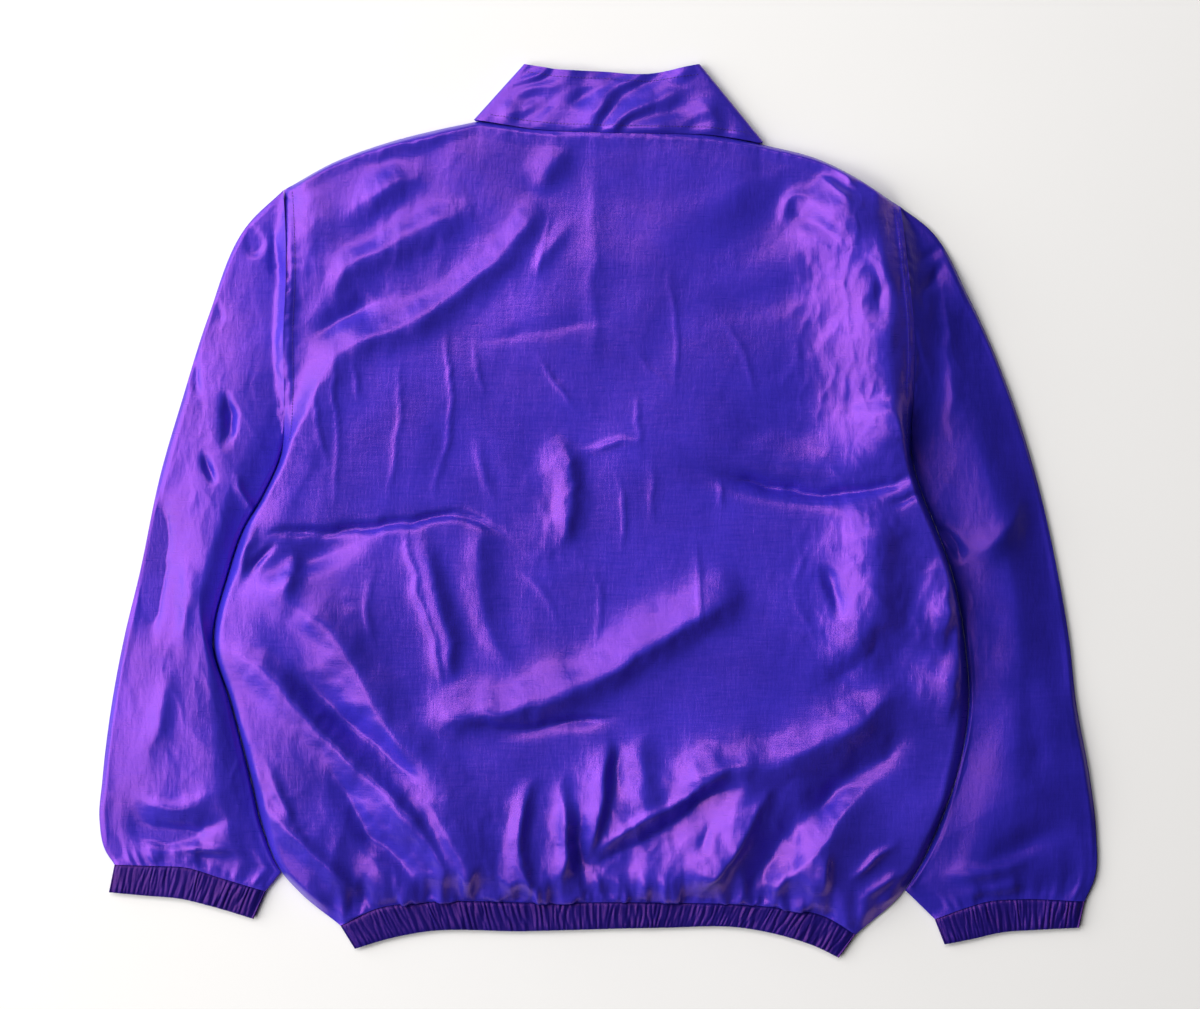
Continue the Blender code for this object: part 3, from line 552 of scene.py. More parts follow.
def fold_heights(x, y, folds):
    """The height that the solids' folds add at plan points."""
    total = np.zeros_like(x)
    for fold in folds:
        run = np.array([fold.end_x - fold.start_x, fold.end_y - fold.start_y], float)
        length = np.linalg.norm(run)
        run /= length
        t = ((x - fold.start_x) * run[0] + (y - fold.start_y) * run[1]) / length
        aside = (y - fold.start_y) * run[0] - (x - fold.start_x) * run[1]
        aside = aside - fold.bow * 4 * t * (1 - t)
        reach = np.where(aside > 0, fold.left_reach, fold.right_reach)
        taper = np.sin(np.pi * np.clip(t, 0, 1)) ** FOLD_TAPER
        total += fold.height * np.exp(-ROLL_FALL * (aside / reach) ** 2) * taper
    return total


def beside(path, x, y):
    """Each point's share along a path, its distance to the path's left, and the path's length."""
    runs = np.diff(path, axis=0)
    lengths = np.linalg.norm(runs, axis=1)
    before = np.r_[0, np.cumsum(lengths)]
    nearest, along, aside = np.full_like(x, np.inf), np.zeros_like(x), np.zeros_like(x)
    for start, run, length, passed in zip(path, runs / lengths[:, None], lengths, before):
        far_x, far_y = x - start[0], y - start[1]
        t = np.clip(far_x * run[0] + far_y * run[1], 0, length)
        away = np.hypot(far_x - t * run[0], far_y - t * run[1])
        closer = away < nearest
        side = np.where(far_x * run[1] - far_y * run[0] < 0, -away, away)
        nearest, along = np.where(closer, away, nearest), np.where(closer, passed + t, along)
        aside = np.where(closer, side, aside)
    return along / before[-1], aside, before[-1]


def wandered(px, py):
    """Pixel places moved a little, so that no crease runs quite on its line."""
    moved_x, moved_y = px, py
    for row in WANDERS:
        moved_x = moved_x + row.shift * noise(px / row.size, py / row.size, row.seed_x)
        moved_y = moved_y + row.shift * noise(px / row.size, py / row.size, row.seed_y)
    return moved_x, moved_y


def crease_heights(x, y, creases):
    """The height that creases add at plan points, each one a little uneven along its line."""
    px, py = wandered(*in_pixels(x, y))
    total = np.zeros_like(x)
    for number, crease in enumerate(creases):
        path = smooth_curve(crease.path, steps(CREASE_STEPS))
        margin = 2 * max(crease.left_reach, crease.right_reach)
        low, high = path.min(axis=0) - margin, path.max(axis=0) + margin
        near = (px > low[0]) & (px < high[0]) & (py > low[1]) & (py < high[1])
        t, aside, length = beside(path, px[near], py[near])
        q = aside / np.where(aside > 0, crease.left_reach, crease.right_reach)
        soft = np.exp(-ROLL_FALL * q**2)
        sharp = np.exp(-RIDGE_FALL * (np.hypot(q, RIDGE_TIP) - RIDGE_TIP))
        profile = soft + crease.edge * (sharp - soft)
        ends = min(LONGEST_END, CREASE_END / length)
        taper = smooth_step(t / ends) * smooth_step((1 - t) / ends)
        wave = noise(t * length / UNEVEN_SPACING, np.full_like(t, 0.5), UNEVEN_SEED + number)
        total[near] += CREASE_GAIN * crease.height * profile * taper * (1 + UNEVEN * wave)
    return total


def crinkle_heights(x, y):
    px, py = in_pixels(x, y)
    amount = np.full_like(x, BASE_CRINKLE)
    for spot in CRINKLES:
        away = ((px - spot.x) / spot.half_width) ** 2 + ((py - spot.y) / spot.half_height) ** 2
        amount += spot.amount * np.exp(-CRINKLE_FALL * away**2)
    return amount * streaks(px, py, STREAKS) + ripples(px, py, SWELLS)


def gather_heights(along_seam, away):
    """Gathers that run out of an elastic seam: fine ones at the seam, broader ones further up."""
    total = 0
    for row in GATHERS:
        wave = row.height * noise(along_seam / row.spacing, away / row.length, row.seed)
        total = total + wave * fading(away, row.reach) * (1 - fading(away, row.rise))
    return total


def pucker(along, away, reach):
    """Small puckers across a sewn seam, none on the seam itself, fading over a reach."""
    return ripples(along, away, PUCKERS) * fading(away, reach) * np.clip(away / PUCKER_EDGE, 0, 1)


def grid_faces(rows, columns, wrap, start=0):
    r, c = np.meshgrid(np.arange(rows - 1), np.arange(columns if wrap else columns - 1), indexing="ij")
    d = (c + 1) % columns
    corners = [r * columns + c, r * columns + d, (r + 1) * columns + d, (r + 1) * columns + c]
    return np.stack(corners, axis=-1).reshape(-1, 4) + start


def normals(grid, wrap):
    """Unit normals of a grid of points [row, column], on the side that its faces show."""
    if wrap:
        wide = np.concatenate([grid[:, -1:], grid, grid[:, :1]], axis=1)
        across = np.gradient(wide, axis=1)[:, 1:-1]
    else:
        across = np.gradient(grid, axis=1)
    facing = np.cross(across, np.gradient(grid, axis=0))
    return facing / np.linalg.norm(facing, axis=2)[:, :, None]


def piece(name, points, faces, material):
    mesh = bpy.data.meshes.new(name)
    mesh.from_pydata((np.asarray(points) * MM).tolist(), [], [list(map(int, face)) for face in faces])
    mesh.shade_smooth()
    mesh.materials.append(material)
    thing = bpy.data.objects.new(name, mesh)
    bpy.context.scene.collection.objects.link(thing)
    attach(thing, "root")
    return thing


def wall(name, outside, inside, wrap, material):
    """A closed wall: outside and inside grids of points and the rims between them."""
    rows, columns = outside.shape[:2]
    count = rows * columns
    faces = [grid_faces(rows, columns, wrap), grid_faces(rows, columns, wrap, count)[:, ::-1]]
    c = np.arange(columns if wrap else columns - 1)
    d = (c + 1) % columns
    last = (rows - 1) * columns
    faces.append(np.stack([c, count + c, count + d, d], axis=1))
    faces.append(np.stack([last + c, last + d, count + last + d, count + last + c], axis=1))
    if not wrap:
        a = np.arange(rows - 1) * columns
        b = a + columns
        faces.append(np.stack([a, b, count + b, count + a], axis=1))
        a, b = a + columns - 1, b + columns - 1
        faces.append(np.stack([a, count + a, count + b, b], axis=1))
    points = np.concatenate([outside.reshape(-1, 3), inside.reshape(-1, 3)])
    thing = piece(name, points, np.concatenate(faces), material)
    thing.data.set_sharp_from_angle(angle=np.radians(WALL_SHARP))
    return thing


def stitches(name, line, material):
    """A row of sewn stitches that lies on a line of surface points, each a short spindle of four sides."""
    knots = spread(line, steps(int(lengths_along(line)[-1] / STITCH_PITCH)))
    points, faces = [], []
    for start, end in zip(knots, knots[1:]):
        along = (end - start) / np.linalg.norm(end - start)
        side = np.cross((0, 0, 1), along)
        up = np.cross(along, side)
        middle = (start + end) / 2 + STITCH_LIFT * up
        first = len(points)
        points.append(middle - along * STITCH_LENGTH / 2 - STITCH_LIFT * up)
        for share in (-STITCH_SHOULDER, STITCH_SHOULDER):
            for out, rise in ((1, 0), (0, 1), (-1, 0), (0, -1)):
                thick = (out * side + rise * up) * STITCH_THICKNESS / 2
                points.append(middle + along * share * STITCH_LENGTH + thick)
        points.append(middle + along * STITCH_LENGTH / 2 - STITCH_LIFT * up)
        for i in range(4):
            j = (i + 1) % 4
            faces.append((first, first + 1 + j, first + 1 + i))
            faces.append((first + 1 + i, first + 1 + j, first + 5 + j, first + 5 + i))
            faces.append((first + 9, first + 5 + i, first + 5 + j))
    row = piece(name, points, faces, material)
    return row


def body_side(side):
    """The body's left or right edge in three stretches of points: hem to notch, to armpit, to shoulder."""
    ends = {"left": (HEM_SEAM[0], LEFT_SHOULDER[0]), "right": (HEM_SEAM[-1], RIGHT_SHOULDER[-1])}[side]
    through = [ends[0]] + [Edge(getattr(row, side), row.along) for row in BODY] + [ends[1]]
    dense = smooth_curve(through, steps(SIDE_STEPS))
    stops = (ends[0].along, NOTCH[side], ARMPIT, ends[1].along)
    shares = (steps(LOW_STEPS), steps(FLANK_STEPS), crowded(ARMHOLE_STEPS))
    stretches = []
    for low, high, share in zip(stops, stops[1:], shares):
        along = low + (high - low) * share
        stretches.append(np.stack([np.interp(along, dense[:, 1], dense[:, 0]), along], axis=1))
    return stretches


def whole_side(side):
    low, flank, armhole = body_side(side)
    return np.concatenate([low, flank[1:], armhole[1:]])


def shoulder_line(side):
    """A shoulder's points, from left to right."""
    return smooth_curve({"left": LEFT_SHOULDER, "right": RIGHT_SHOULDER}[side], steps(SHOULDER_STEPS))


def back_neckline():
    return smooth_curve(BACK_NECK, steps(NECK_STEPS))


def body_top():
    left, neck, right = shoulder_line("left"), back_neckline(), shoulder_line("right")
    return np.concatenate([left, neck[1:], right[1:]])


def hem_line():
    return smooth_curve(HEM_SEAM, shares_along(body_top()))


def from_edges(plan, rows, columns):
    """Each plan point's distances from the left, right, bottom and top edges, along the grid's lines."""
    width = np.linalg.norm(np.diff(plan, axis=1), axis=2).sum(axis=1)[:, None]
    length = np.linalg.norm(np.diff(plan, axis=0), axis=2).sum(axis=0)[None, :]
    u, v = columns[None, :], rows[:, None]
    return u * width, (1 - u) * width, v * length, (1 - v) * length


def blended_rim(edges, rims):
    """The edges' own heights, each felt most close to its edge."""
    near = [1 / (edge + EDGE_SOFTNESS) ** 2 for edge in edges]
    return sum(n * rim for n, rim in zip(near, rims)) / sum(near)


def armhole_rim(along, side):
    """Height of the body's edge: low at the side seam, raised over the armhole."""
    share = np.clip((along - ARMPIT) / (ARMHOLE_TOP - ARMPIT), 0, 1)
    return BACK_RIM + (ARMHOLE_RIM[side] - BACK_RIM) * np.sin(np.pi * share) ** RIM_ARCH


def back_crown(x, y, left, top, on_neck):
    """Height of the bloused back without its folds."""
    crown = np.interp(y, [c.along for c in BACK_CROWN], [c.height for c in BACK_CROWN])
    crown = crown * from_share(LEFT_CROWN, smooth_step(left / LEFT_CROWN_REACH))
    crown += NECK_LIFT * on_neck * smooth_step(1 - top / NECK_LIFT_REACH)
    corner = smooth_step((x - LOW_CORNER.x) / LOW_CORNER.width)
    corner = corner * smooth_step((LOW_CORNER.y - y) / LOW_CORNER.length)
    return crown - LOW_CORNER.drop * corner


def make_back(material, thread):
    left_edge, right_edge, top_edge = whole_side("left"), whole_side("right"), body_top()
    rows = (shares_along(left_edge) + shares_along(right_edge)) / 2
    columns = shares_along(top_edge)
    plan = patch(hem_line(), top_edge, left_edge, right_edge, rows, columns)
    x, y = plan[:, :, 0], plan[:, :, 1]
    edges = left, right, bottom, top = from_edges(plan, rows, columns)
    seams = np.minimum(left, right)
    on_neck = np.clip((x - BACK_NECK[0].across) / (BACK_NECK[-1].across - BACK_NECK[0].across), 0, 1)
    on_neck = np.sin(np.pi * on_neck) ** NECK_ARCH
    top_rim = BACK_RIM + (NECK_RIM - BACK_RIM) * on_neck
    rims = [armhole_rim(y, "left"), armhole_rim(y, "right"), np.full_like(x, BAND_LOFT), top_rim]
    rim = blended_rim(edges, rims)
    side_reach = SIDE_ROUND * (1 + ripples(y, x, SIDE_RIPPLES))
    side_reach = side_reach + ARMHOLE_ROUND * smooth_step((y - ARMPIT) / ARMHOLE_ROUND_START)
    hem_reach = HEM_ROUND * (1 + ripples(x, bottom, HEM_RIPPLES))
    round_over = rounded(left, side_reach) * rounded(right, side_reach)
    round_over = round_over * rounded(bottom, hem_reach) * rounded(top, TOP_ROUND)
    folds = fold_heights(x, y, BACK_FOLDS) + crease_heights(x, y, BACK_CREASES)
    height = rim + (back_crown(x, y, left, top, on_neck) - rim + folds) * round_over
    height += crinkle_heights(x, y) * np.clip(np.minimum.reduce(edges) / BACK_EASE, 0, 1)
    height += HEM_GATHER * gather_heights(x, bottom) * rounded(seams, HEM_GATHER_EASE)
    on_armhole = np.clip((y - ARMPIT + PUCKER_LEAD) / PUCKER_START, 0, 1)
    height += ARMHOLE_PUCKER * pucker(y, seams, PUCKER_REACH) * on_armhole
    height += NECK_PUCKER * pucker(x, top, NECK_PUCKER_REACH)
    ridge = fading(seams - SEAM_RIDGE_PLACE, SEAM_RIDGE_WIDTH)
    height += SEAM_RIDGE * ridge * smooth_step((y - ARMPIT) / SEAM_RIDGE_START)
    height = np.maximum(height, WALL + SEAM_GAP)
    blouse = np.clip(BLOUSE_SHARE + ripples(x, bottom, BLOUSE_RIPPLES), 0, 1)
    blouse *= smooth_step(bottom / BLOUSE_START)
    blouse *= fading(np.maximum(bottom - BLOUSE_START, 0), BLOUSE_REACH)
    height += BLOUSE_RISE * blouse
    plan[:, :, 1] -= BLOUSE_HANG * blouse * rounded(seams, BLOUSE_EASE)
    outside = np.dstack([plan, height])
    back = piece("back_cloth", outside.reshape(-1, 3), grid_faces(len(rows), len(columns), False), material)
    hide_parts("back")
    armhole = outside[LOW_STEPS + FLANK_STEPS + STITCH_INSET : -STITCH_INSET]
    rows_of_stitches = [
        stitches("armhole_stitches_left", armhole[:, STITCH_INSET], thread),
        stitches("armhole_stitches_right", armhole[:, -1 - STITCH_INSET], thread),
    ]
    return back, rows_of_stitches


def front_necklines():
    """The front neck's two halves, each from the shoulder to the centre front."""
    left = smooth_curve(LEFT_FRONT_NECK, steps(FRONT_NECK_STEPS))
    right = smooth_curve(RIGHT_FRONT_NECK[::-1], steps(FRONT_NECK_STEPS))
    return left, right


def make_front(material):
    """The flat panel that the jacket rests on, with the slit in its neckline."""
    left_neck, right_neck = front_necklines()
    slit = SLIT_WIDTH / 2
    left_neck[-1, 0] -= slit
    right_neck[-1, 0] += slit
    low = left_neck[-1, 1] - SLIT_LENGTH
    ring = np.concatenate(
        [
            hem_line()[:-1],
            whole_side("right")[:-1],
            shoulder_line("right")[::-1][:-1],
            right_neck,
            [(CENTRE_FRONT + slit, low), (CENTRE_FRONT - slit, low)],
            left_neck[::-1],
            shoulder_line("left")[::-1][1:-1],
            whole_side("left")[::-1][:-1],
        ]
    )
    count = len(ring)
    points = [(x, y, 0) for x, y in ring] + [(x, y, WALL) for x, y in ring]
    faces = [list(range(count))[::-1], list(range(count, 2 * count))]
    faces += [(i, (i + 1) % count, count + (i + 1) % count, count + i) for i in range(count)]
    front = piece("front_cloth", points, faces, material)
    front.data.set_sharp_from_angle(angle=np.radians(FRONT_SHARP))
    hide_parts("front")
    return front


def tube_points(plan, heights, under_columns):
    """Rings of a flattened tube: over the top left to right, then back below, flat on the floor."""
    rows, columns = heights.shape
    top = np.dstack([plan, heights])
    shares = np.linspace(0, columns - 1, under_columns + 2)[1:-1].round().astype(int)
    under = np.dstack([plan[:, shares], np.zeros((rows, under_columns))])
    return np.concatenate([top, under[:, ::-1]], axis=1)


def sleeve_plan(outline, side, cuff_seam):
    """Plan patch of a sleeve, cuff to armhole, with its shares along and across."""
    away = 1 if side == "left" else -1
    _, flank, armhole = body_side(side)
    armhole = moved_aside(armhole, away * SEAM_GAP)
    flank = moved_aside(flank, away * SEAM_GAP)
    cuff_end = np.array(cuff_seam[-1] if side == "left" else cuff_seam[0], float)
    free_edge = np.linspace(cuff_end, flank[0], FREE_STEPS + 1)
    inner = np.concatenate([free_edge[:-1], flank[:-1], armhole[:1]])
    rows, columns = shares_along(inner), crowded(ARMHOLE_STEPS)
    outer = smooth_curve([(s.across, s.along) for s in outline][::-1], rows)
    outer[-1] = armhole[-1]
    cuff = smooth_curve(cuff_seam, columns)
    edges = (armhole[::-1], outer, inner) if side == "left" else (armhole, inner, outer)
    return patch(cuff, *edges, rows, columns), rows, columns


def sleeve_crown(side, outline, rows, across):
    """Height of a sleeve without its folds, from its outer edge at 0 across to its inner edge at 1."""
    stations = np.linspace(0, 1, len(outline))
    outer_loft = np.interp(rows, stations, [s.outer_loft for s in outline][::-1])[:, None]
    inner_loft = np.interp(rows, stations, [s.inner_loft for s in outline][::-1])[:, None]
    shape = SLEEVE_CROWNS[side]
    if side == "left":
        rise = np.sin(np.pi / 2 * across / shape.crest) ** LEFT_SLEEVE_ARCH
    else:
        rise = smooth_step(across / shape.crest)
    fall = smooth_step((across - shape.fall_start) / (1 - shape.fall_start))
    return OUTER_SHARE * outer_loft + (shape.rise * rise - shape.fall * fall) * inner_loft


def make_sleeve(side, material):
    outline, cuff_seam, _, folds, creases = SLEEVES[side]
    plan, rows, columns = sleeve_plan(outline, side, cuff_seam)
    x, y = plan[:, :, 0], plan[:, :, 1]
    edges = left, right, cuff, shoulder = from_edges(plan, rows, columns)
    if side == "left":
        across, outer, inner = columns[None, :], left, right
    else:
        across, outer, inner = 1 - columns[None, :], right, left
    side_rim = np.full_like(x, SLEEVE_RIM)
    armhole = side_rim + (ARMHOLE_RIM[side] - side_rim) * np.sin(np.pi * across) ** RIM_ARCH
    rim = blended_rim(edges, [side_rim, side_rim, np.full_like(x, BAND_LOFT), armhole])
    sides = rounded(outer, OUTER_ROUND) * rounded(inner, INNER_ROUND[side])
    ends = rounded(cuff, CUFF_ROUND) * rounded(shoulder, SLEEVE_TOP_ROUND[side])
    lying = fold_heights(x, y, folds) + crease_heights(x, y, creases)
    height = rim + (sleeve_crown(side, outline, rows, across) - rim + lying) * sides * ends
    height += crinkle_heights(x, y) * np.clip(np.minimum.reduce(edges) / SLEEVE_EASE, 0, 1)
    along_cuff = left[:1]
    gathers = CUFF_GATHER * gather_heights(along_cuff, cuff)
    height += gathers * rounded(np.minimum(left, right), CUFF_GATHER_EASE)
    height += SLEEVE_PUCKER * pucker(y, shoulder, PUCKER_REACH) * sides
    height = np.maximum(height, LEAST_SLEEVE - SLEEVE_PINCH * (1 - sides))
    rings = tube_points(plan, height, SLEEVE_UNDER_STEPS)
    faces = grid_faces(rings.shape[0], rings.shape[1], True)
    sleeve = piece(f"sleeve_cloth_{side}", rings.reshape(-1, 3), faces, material)
    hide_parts(f"sleeve_{side}")
    return sleeve


def rib_waves(across, along, rows):
    return sum(row.height * noise(across * row.across, along * row.along, row.seed) for row in rows)


def make_cuff(side, material):
    sleeve = SLEEVES[side]
    name, solid = f"cuff_cloth_{side}", f"cuff_{side}"
    return make_band(name, solid, sleeve.cuff_seam, sleeve.cuff_edge, CUFF_RIBS, material)


def make_band(name, solid, seam, edge, ribs, material):
    """An elastic casing, flattened, with its gathers raised in its upper side."""
    columns, rows = steps(ribs * RIB_STEPS), steps(BAND_STEPS)
    top = spread(moved_aside(smooth_curve(seam, steps(SEAM_STEPS)), -SEAM_GAP), columns)
    bottom = smooth_curve(edge, columns)
    left = np.linspace(bottom[0], top[0], len(rows))
    right = np.linspace(bottom[-1], top[-1], len(rows))
    plan = patch(bottom, top, left, right, rows, columns)
    u, v = columns[None, :], rows[:, None]
    ends = rounded(np.minimum(u, 1 - u) * lengths_along(bottom)[-1], BAND_END_ROUND)
    mouth = rounded(v * BAND_WIDTH, BAND_EDGE_ROUND) * rounded((1 - v) * BAND_WIDTH, BAND_SEAM_ROUND)
    fullness = ends * from_share(BAND_EDGE_SHARE, v) * from_share(BAND_MOUTH_SHARE, mouth)
    flat = LEAST_BAND + (BAND_LOFT - LEAST_BAND) * fullness
    phase = u * ribs + rib_waves(u * ribs, v, RIB_SWAY)
    wave = np.abs(np.cos(np.pi * phase)) ** RIB_ROUND
    tall = RIB_TALL + rib_waves(phase, v, RIB_UNEVEN)
    gathers = RIB_HEIGHT * (wave * tall + rib_waves(u * ribs, v, RIB_FINE))
    gathers = gathers * ends * from_share(RIB_MOUTH_SHARE, mouth)
    outside = tube_points(plan, np.maximum(flat + gathers, LEAST_BAND), ribs)
    plain = tube_points(plan, flat, ribs)
    inside = plain - BAND_WALL * normals(plain, True)
    count = len(columns)
    inside[:, count:, 2] = BAND_WALL
    inside[:, :count, 2] = np.maximum(inside[:, :count, 2], BAND_WALL + LEAST_HOLLOW)
    band = wall(name, outside, inside, True, material)
    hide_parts(solid)
    return band


def collar_edges():
    """The collar's seam and top edges in plan, each as left front, back and right front."""
    left_neck, right_neck = front_necklines()
    middle = (CENTRE_FRONT, left_neck[-1, 1] + COLLAR_RISE)
    even = steps(FRONT_NECK_STEPS)
    seam = [
        moved_aside(left_neck, SEAM_GAP)[::-1],
        moved_aside(back_neckline(), SEAM_GAP),
        moved_aside(right_neck, -SEAM_GAP),
    ]
    top = [
        smooth_curve((middle,) + COLLAR_LEFT_DIP + COLLAR_TOP[:1], even),
        smooth_curve(COLLAR_TOP, steps(NECK_STEPS)),
        smooth_curve(COLLAR_TOP[-1:] + COLLAR_RIGHT_DIP + (middle,), even),
    ]
    for left, _, right in (seam, top):
        left[0, 0] = CENTRE_FRONT - SLIT_WIDTH / 2
        right[-1, 0] = CENTRE_FRONT + SLIT_WIDTH / 2
    return seam, top


def collar_back_heights(x, y, v, u):
    """Height of the collar's back at a share v from its seam to its top edge, with slanting folds in it."""
    arch = np.sin(np.pi * u)
    px, py = in_pixels(x, y)
    turned = px + COLLAR_FOLD_SLANT * py
    phase = turned / COLLAR_FOLD_SPACING + ripples(px, py, COLLAR_SWAY)
    share = phase - np.floor(phase)
    rising, falling = share / COLLAR_FOLD_CREST, (1 - share) / (1 - COLLAR_FOLD_CREST)
    slant = smooth_step(np.minimum(rising, falling))
    tall = COLLAR_FOLD_HEIGHT + ripples(np.floor(phase), py, COLLAR_FOLD_UNEVEN)
    lying = tall * slant + ripples(turned, py, COLLAR_RIPPLES) + streaks(px, py, COLLAR_STREAKS)
    crown = (COLLAR_CROWN - COLLAR_SLOPE * v) * arch**NECK_ARCH
    lying = COLLAR_LOFT + crown + lying * np.clip(arch / COLLAR_FOLD_EASE, 0, 1)
    neck = COLLAR_LOFT + (NECK_RIM - COLLAR_LOFT) * arch**NECK_ARCH
    return neck + (lying - neck) * rounded(v * COLLAR_WIDTH, COLLAR_SEAM_ROUND)


def make_collar(material, thread):
    """A strip folded flat: the front halves below, the back above, a rounded fold at either side."""
    seam, top = collar_edges()
    turn = np.linspace(-np.pi / 2, np.pi / 2, COLLAR_TURN_STEPS + 1)[1:-1]
    half = COLLAR_LOFT / 2
    out, up = np.cos(turn) * half, half + np.sin(turn) * half
    rise = COLLAR_TURN_SLANT * out
    rows = []
    for v in steps(COLLAR_STEPS):
        left, back, right = ((1 - v) * low + v * high for low, high in zip(seam, top))
        over = collar_back_heights(back[:, 0], back[:, 1], v, steps(NECK_STEPS))
        left_fold = np.c_[back[0, 0] - out, back[0, 1] + rise, up]
        right_fold = np.c_[back[-1, 0] + out, back[-1, 1] + rise, up][::-1]
        left_under, right_under = np.c_[left, np.zeros(len(left))], np.c_[right, np.zeros(len(right))]
        rows.append(np.concatenate([left_under, left_fold, np.c_[back, over], right_fold, right_under]))
    outside = np.array(rows)
    inside = outside - COLLAR_WALL * normals(outside, False)
    flat = outside[:, :, 2] == 0
    inside[flat, :2] = outside[flat, :2]
    inside[flat, 2] = WALL
    collar = wall("collar_cloth", outside, inside, False, material)
    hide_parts("collar")
    first = FRONT_NECK_STEPS + 1 + len(turn)
    on_back = slice(first + COLLAR_STITCH_INSET, first + NECK_STEPS + 1 - COLLAR_STITCH_INSET)
    rows_of_stitches = [
        stitches("collar_topstitch", outside[COLLAR_STEPS - COLLAR_STITCH_INSET, on_back], thread),
        stitches("collar_seam_stitch", outside[COLLAR_STITCH_INSET, on_back], thread),
    ]
    return collar, rows_of_stitches


def node(tree, kind, **values):
    """A shader node with these input values, by socket name, and these settings."""
    made = tree.nodes.new(kind)
    for name, value in values.items():
        if name in made.inputs:
            made.inputs[name].default_value = value
        else:
            setattr(made, name, value)
    return made


def noise_output(tree, place, stretch=None, **values):
    """A noise texture's output at a place, which may be stretched on X, Y and Z."""
    if stretch:
        mapping = node(tree, "ShaderNodeMapping", Scale=stretch)
        tree.links.new(place, mapping.inputs["Vector"])
        place = mapping.outputs["Vector"]
    made = node(tree, "ShaderNodeTexNoise", **values)
    tree.links.new(place, made.inputs["Vector"])
    return made.outputs["Fac"]


def ramp_output(tree, value, *stops):
    """The colour that a value takes between two stops, each a position and a colour."""
    made = node(tree, "ShaderNodeValToRGB")
    for element, (position, colour) in zip(made.color_ramp.elements, stops):
        element.position, element.color = position, colour
    tree.links.new(value, made.inputs["Fac"])
    return made.outputs["Color"]


def weave_output(tree, place):
    """Threads both ways across the cloth."""
    weave = node(tree, "ShaderNodeMath", operation="ADD")
    for i, (way, scale, distortion) in enumerate((("X", 260.0, 1.0), ("Y", 300.0, 1.5))):
        wave = node(tree, "ShaderNodeTexWave", bands_direction=way, Scale=scale, Distortion=distortion)
        tree.links.new(place, wave.inputs["Vector"])
        tree.links.new(wave.outputs["Fac"], weave.inputs[i])
    return weave.outputs[0]


def new_material(name, **values):
    """A material whose shader has these input values, with its node tree and shader."""
    material = bpy.data.materials.new(name)
    material.use_nodes = True
    shader = material.node_tree.nodes["Principled BSDF"]
    for socket, value in values.items():
        shader.inputs[socket.replace("_", " ")].default_value = value
    return material, material.node_tree, shader


def nylon(cloth):
    """Two-tone nylon: a violet-blue cloth that shines purple, with slubs, weave and fine crinkles."""
    sheen = {"Sheen_Weight": 0.08, "Sheen_Roughness": 0.4, "Sheen_Tint": BLOOM}
    material, tree, shader = new_material(cloth.name, IOR=cloth.index, Specular_Tint=SHINE, **sheen)
    link = tree.links.new
    place = node(tree, "ShaderNodeTexCoord").outputs["Object"]
    clouds = noise_output(tree, place, Scale=14.0, Detail=5.0, Roughness=0.6)
    slubs = noise_output(tree, place, (60.0, 900.0, 60.0), Scale=1.0, Detail=3.0, Roughness=0.6)
    crinkles = noise_output(tree, place, Scale=150.0, Detail=4.0, Roughness=0.62, Distortion=0.5)
    ragged = {"Scale": 1.0, "Detail": 3.0, "Roughness": 0.55, "Distortion": 0.4}
    rags = noise_output(tree, place, (330.0, 75.0, 150.0), **ragged)

    tone = node(tree, "ShaderNodeMath", operation="MULTIPLY_ADD")
    link(slubs, tone.inputs[0])
    tone.inputs[1].default_value = SLUB_TONE
    link(clouds, tone.inputs[2])
    colour = ramp_output(tree, tone.outputs[0], (0.45, cloth.deep), (0.95, cloth.bright))
    link(colour, shader.inputs["Base Color"])

    gloss = node(tree, "ShaderNodeMapRange")
    smooth, rough = cloth.roughness - 0.05, cloth.roughness + 0.07
    for socket, value in (("From Min", 0.3), ("From Max", 0.7), ("To Min", smooth), ("To Max", rough)):
        gloss.inputs[socket].default_value = value
    link(slubs, gloss.inputs["Value"])
    link(gloss.outputs["Result"], shader.inputs["Roughness"])

    weave = weave_output(tree, place)
    reliefs = (weave, 0.12, 0.0002), (slubs, 0.15, 0.0006), (crinkles, 0.1, 0.0022), (rags, 0.5, 0.0005)
    normal = None
    for height, strength, distance in reliefs:
        bump = node(tree, "ShaderNodeBump", Strength=strength, Distance=distance)
        link(height, bump.inputs["Height"])
        if normal:
            link(normal, bump.inputs["Normal"])
        normal = bump.outputs["Normal"]
    link(normal, shader.inputs["Normal"])
    return material


def thread_material():
    material, tree, shader = new_material("thread", Roughness=0.55)
    place = node(tree, "ShaderNodeTexCoord").outputs["Object"]
    twist = noise_output(tree, place, Scale=900.0, Detail=2.0)
    colour = ramp_output(tree, twist, (0.0, THREAD_DEEP), (1.0, THREAD_BRIGHT))
    tree.links.new(colour, shader.inputs["Base Color"])
    return material


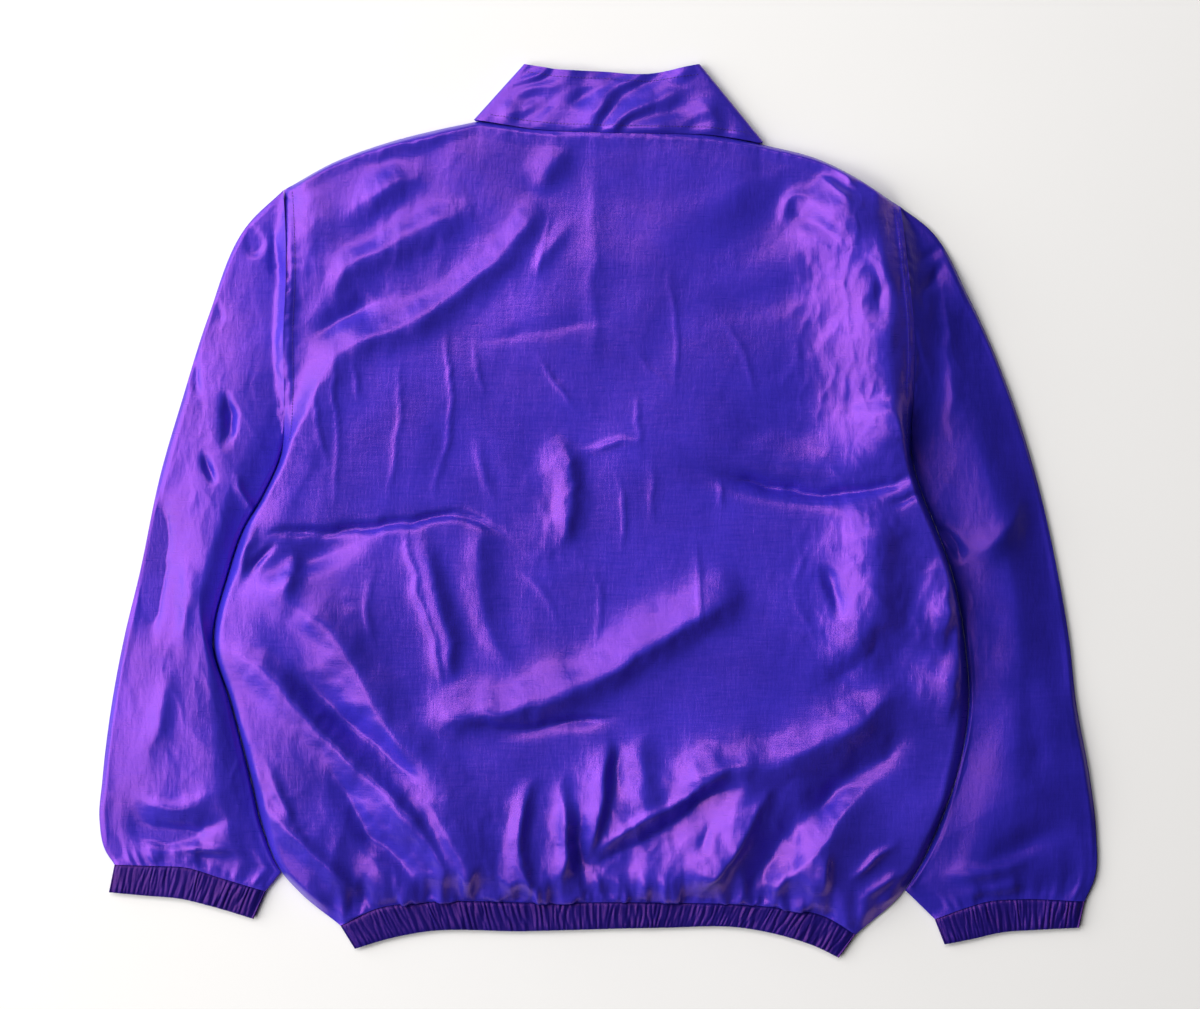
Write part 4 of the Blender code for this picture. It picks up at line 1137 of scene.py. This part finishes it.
def make_floor():
    mesh = bpy.data.meshes.new("floor")
    signs = ((-1, -1), (1, -1), (1, 1), (-1, 1))
    corners = [(x * FLOOR_SIZE, y * FLOOR_SIZE, FLOOR_LEVEL) for x, y in signs]
    mesh.from_pydata(corners, [], [(0, 1, 2, 3)])
    material, _, _ = new_material("floor", Base_Color=FLOOR_COLOUR, Roughness=0.9)
    mesh.materials.append(material)
    floor = bpy.data.objects.new("floor", mesh)
    bpy.context.scene.collection.objects.link(floor)


def make_light(box):
    """A rectangular soft light that faces the middle of the jacket."""
    light = bpy.data.lights.new(box.name, "AREA")
    light.shape, light.size, light.size_y = "RECTANGLE", box.width, box.length
    light.energy, light.color = box.watts, LIGHT_COLOUR
    lamp = bpy.data.objects.new(box.name, light)
    lamp.location = box.place
    aim = -lamp.location
    lamp.rotation_euler = aim.to_track_quat("-Z", "Y").to_euler()
    bpy.context.scene.collection.objects.link(lamp)


def make_studio():
    scene = bpy.context.scene
    world = bpy.data.worlds.new("studio")
    world.use_nodes = True
    world.node_tree.nodes["Background"].inputs["Color"].default_value = (1.0, 1.0, 1.0, 1)
    world.node_tree.nodes["Background"].inputs["Strength"].default_value = WORLD_STRENGTH
    scene.world = world
    scene.view_settings.view_transform = "Standard"
    for box in LIGHTS:
        make_light(box)
    camera = bpy.data.cameras.new("camera")
    camera.sensor_width = SENSOR_WIDTH
    camera.lens = SENSOR_WIDTH * CAMERA_PLACE[2] / FRAME_WIDTH
    eye = bpy.data.objects.new("camera", camera)
    eye.location = CAMERA_PLACE
    scene.collection.objects.link(eye)
    scene.camera = eye


def main():
    # The second and third nylons are darker copies whose base colours paint shade on the right sleeve and
    # in the elastic's ribs
    cloth, shaded_sleeve_nylon, shaded_gathered_nylon = nylon(BODY_NYLON), nylon(SHADED_RIGHT_SLEEVE_NYLON), nylon(SHADED_GATHERED_NYLON)
    thread = thread_material()
    back, armhole_stitches = make_back(cloth, thread)
    front = make_front(cloth)
    left_sleeve, right_sleeve = make_sleeve("left", cloth), make_sleeve("right", shaded_sleeve_nylon)
    left_cuff, right_cuff = make_cuff("left", shaded_gathered_nylon), make_cuff("right", shaded_gathered_nylon)
    hem = make_band("hem_cloth", "hem_band", HEM_SEAM, HEM_EDGE, HEM_RIBS, shaded_gathered_nylon)
    collar, collar_stitches = make_collar(cloth, thread)
    make_floor()
    make_studio()


main()
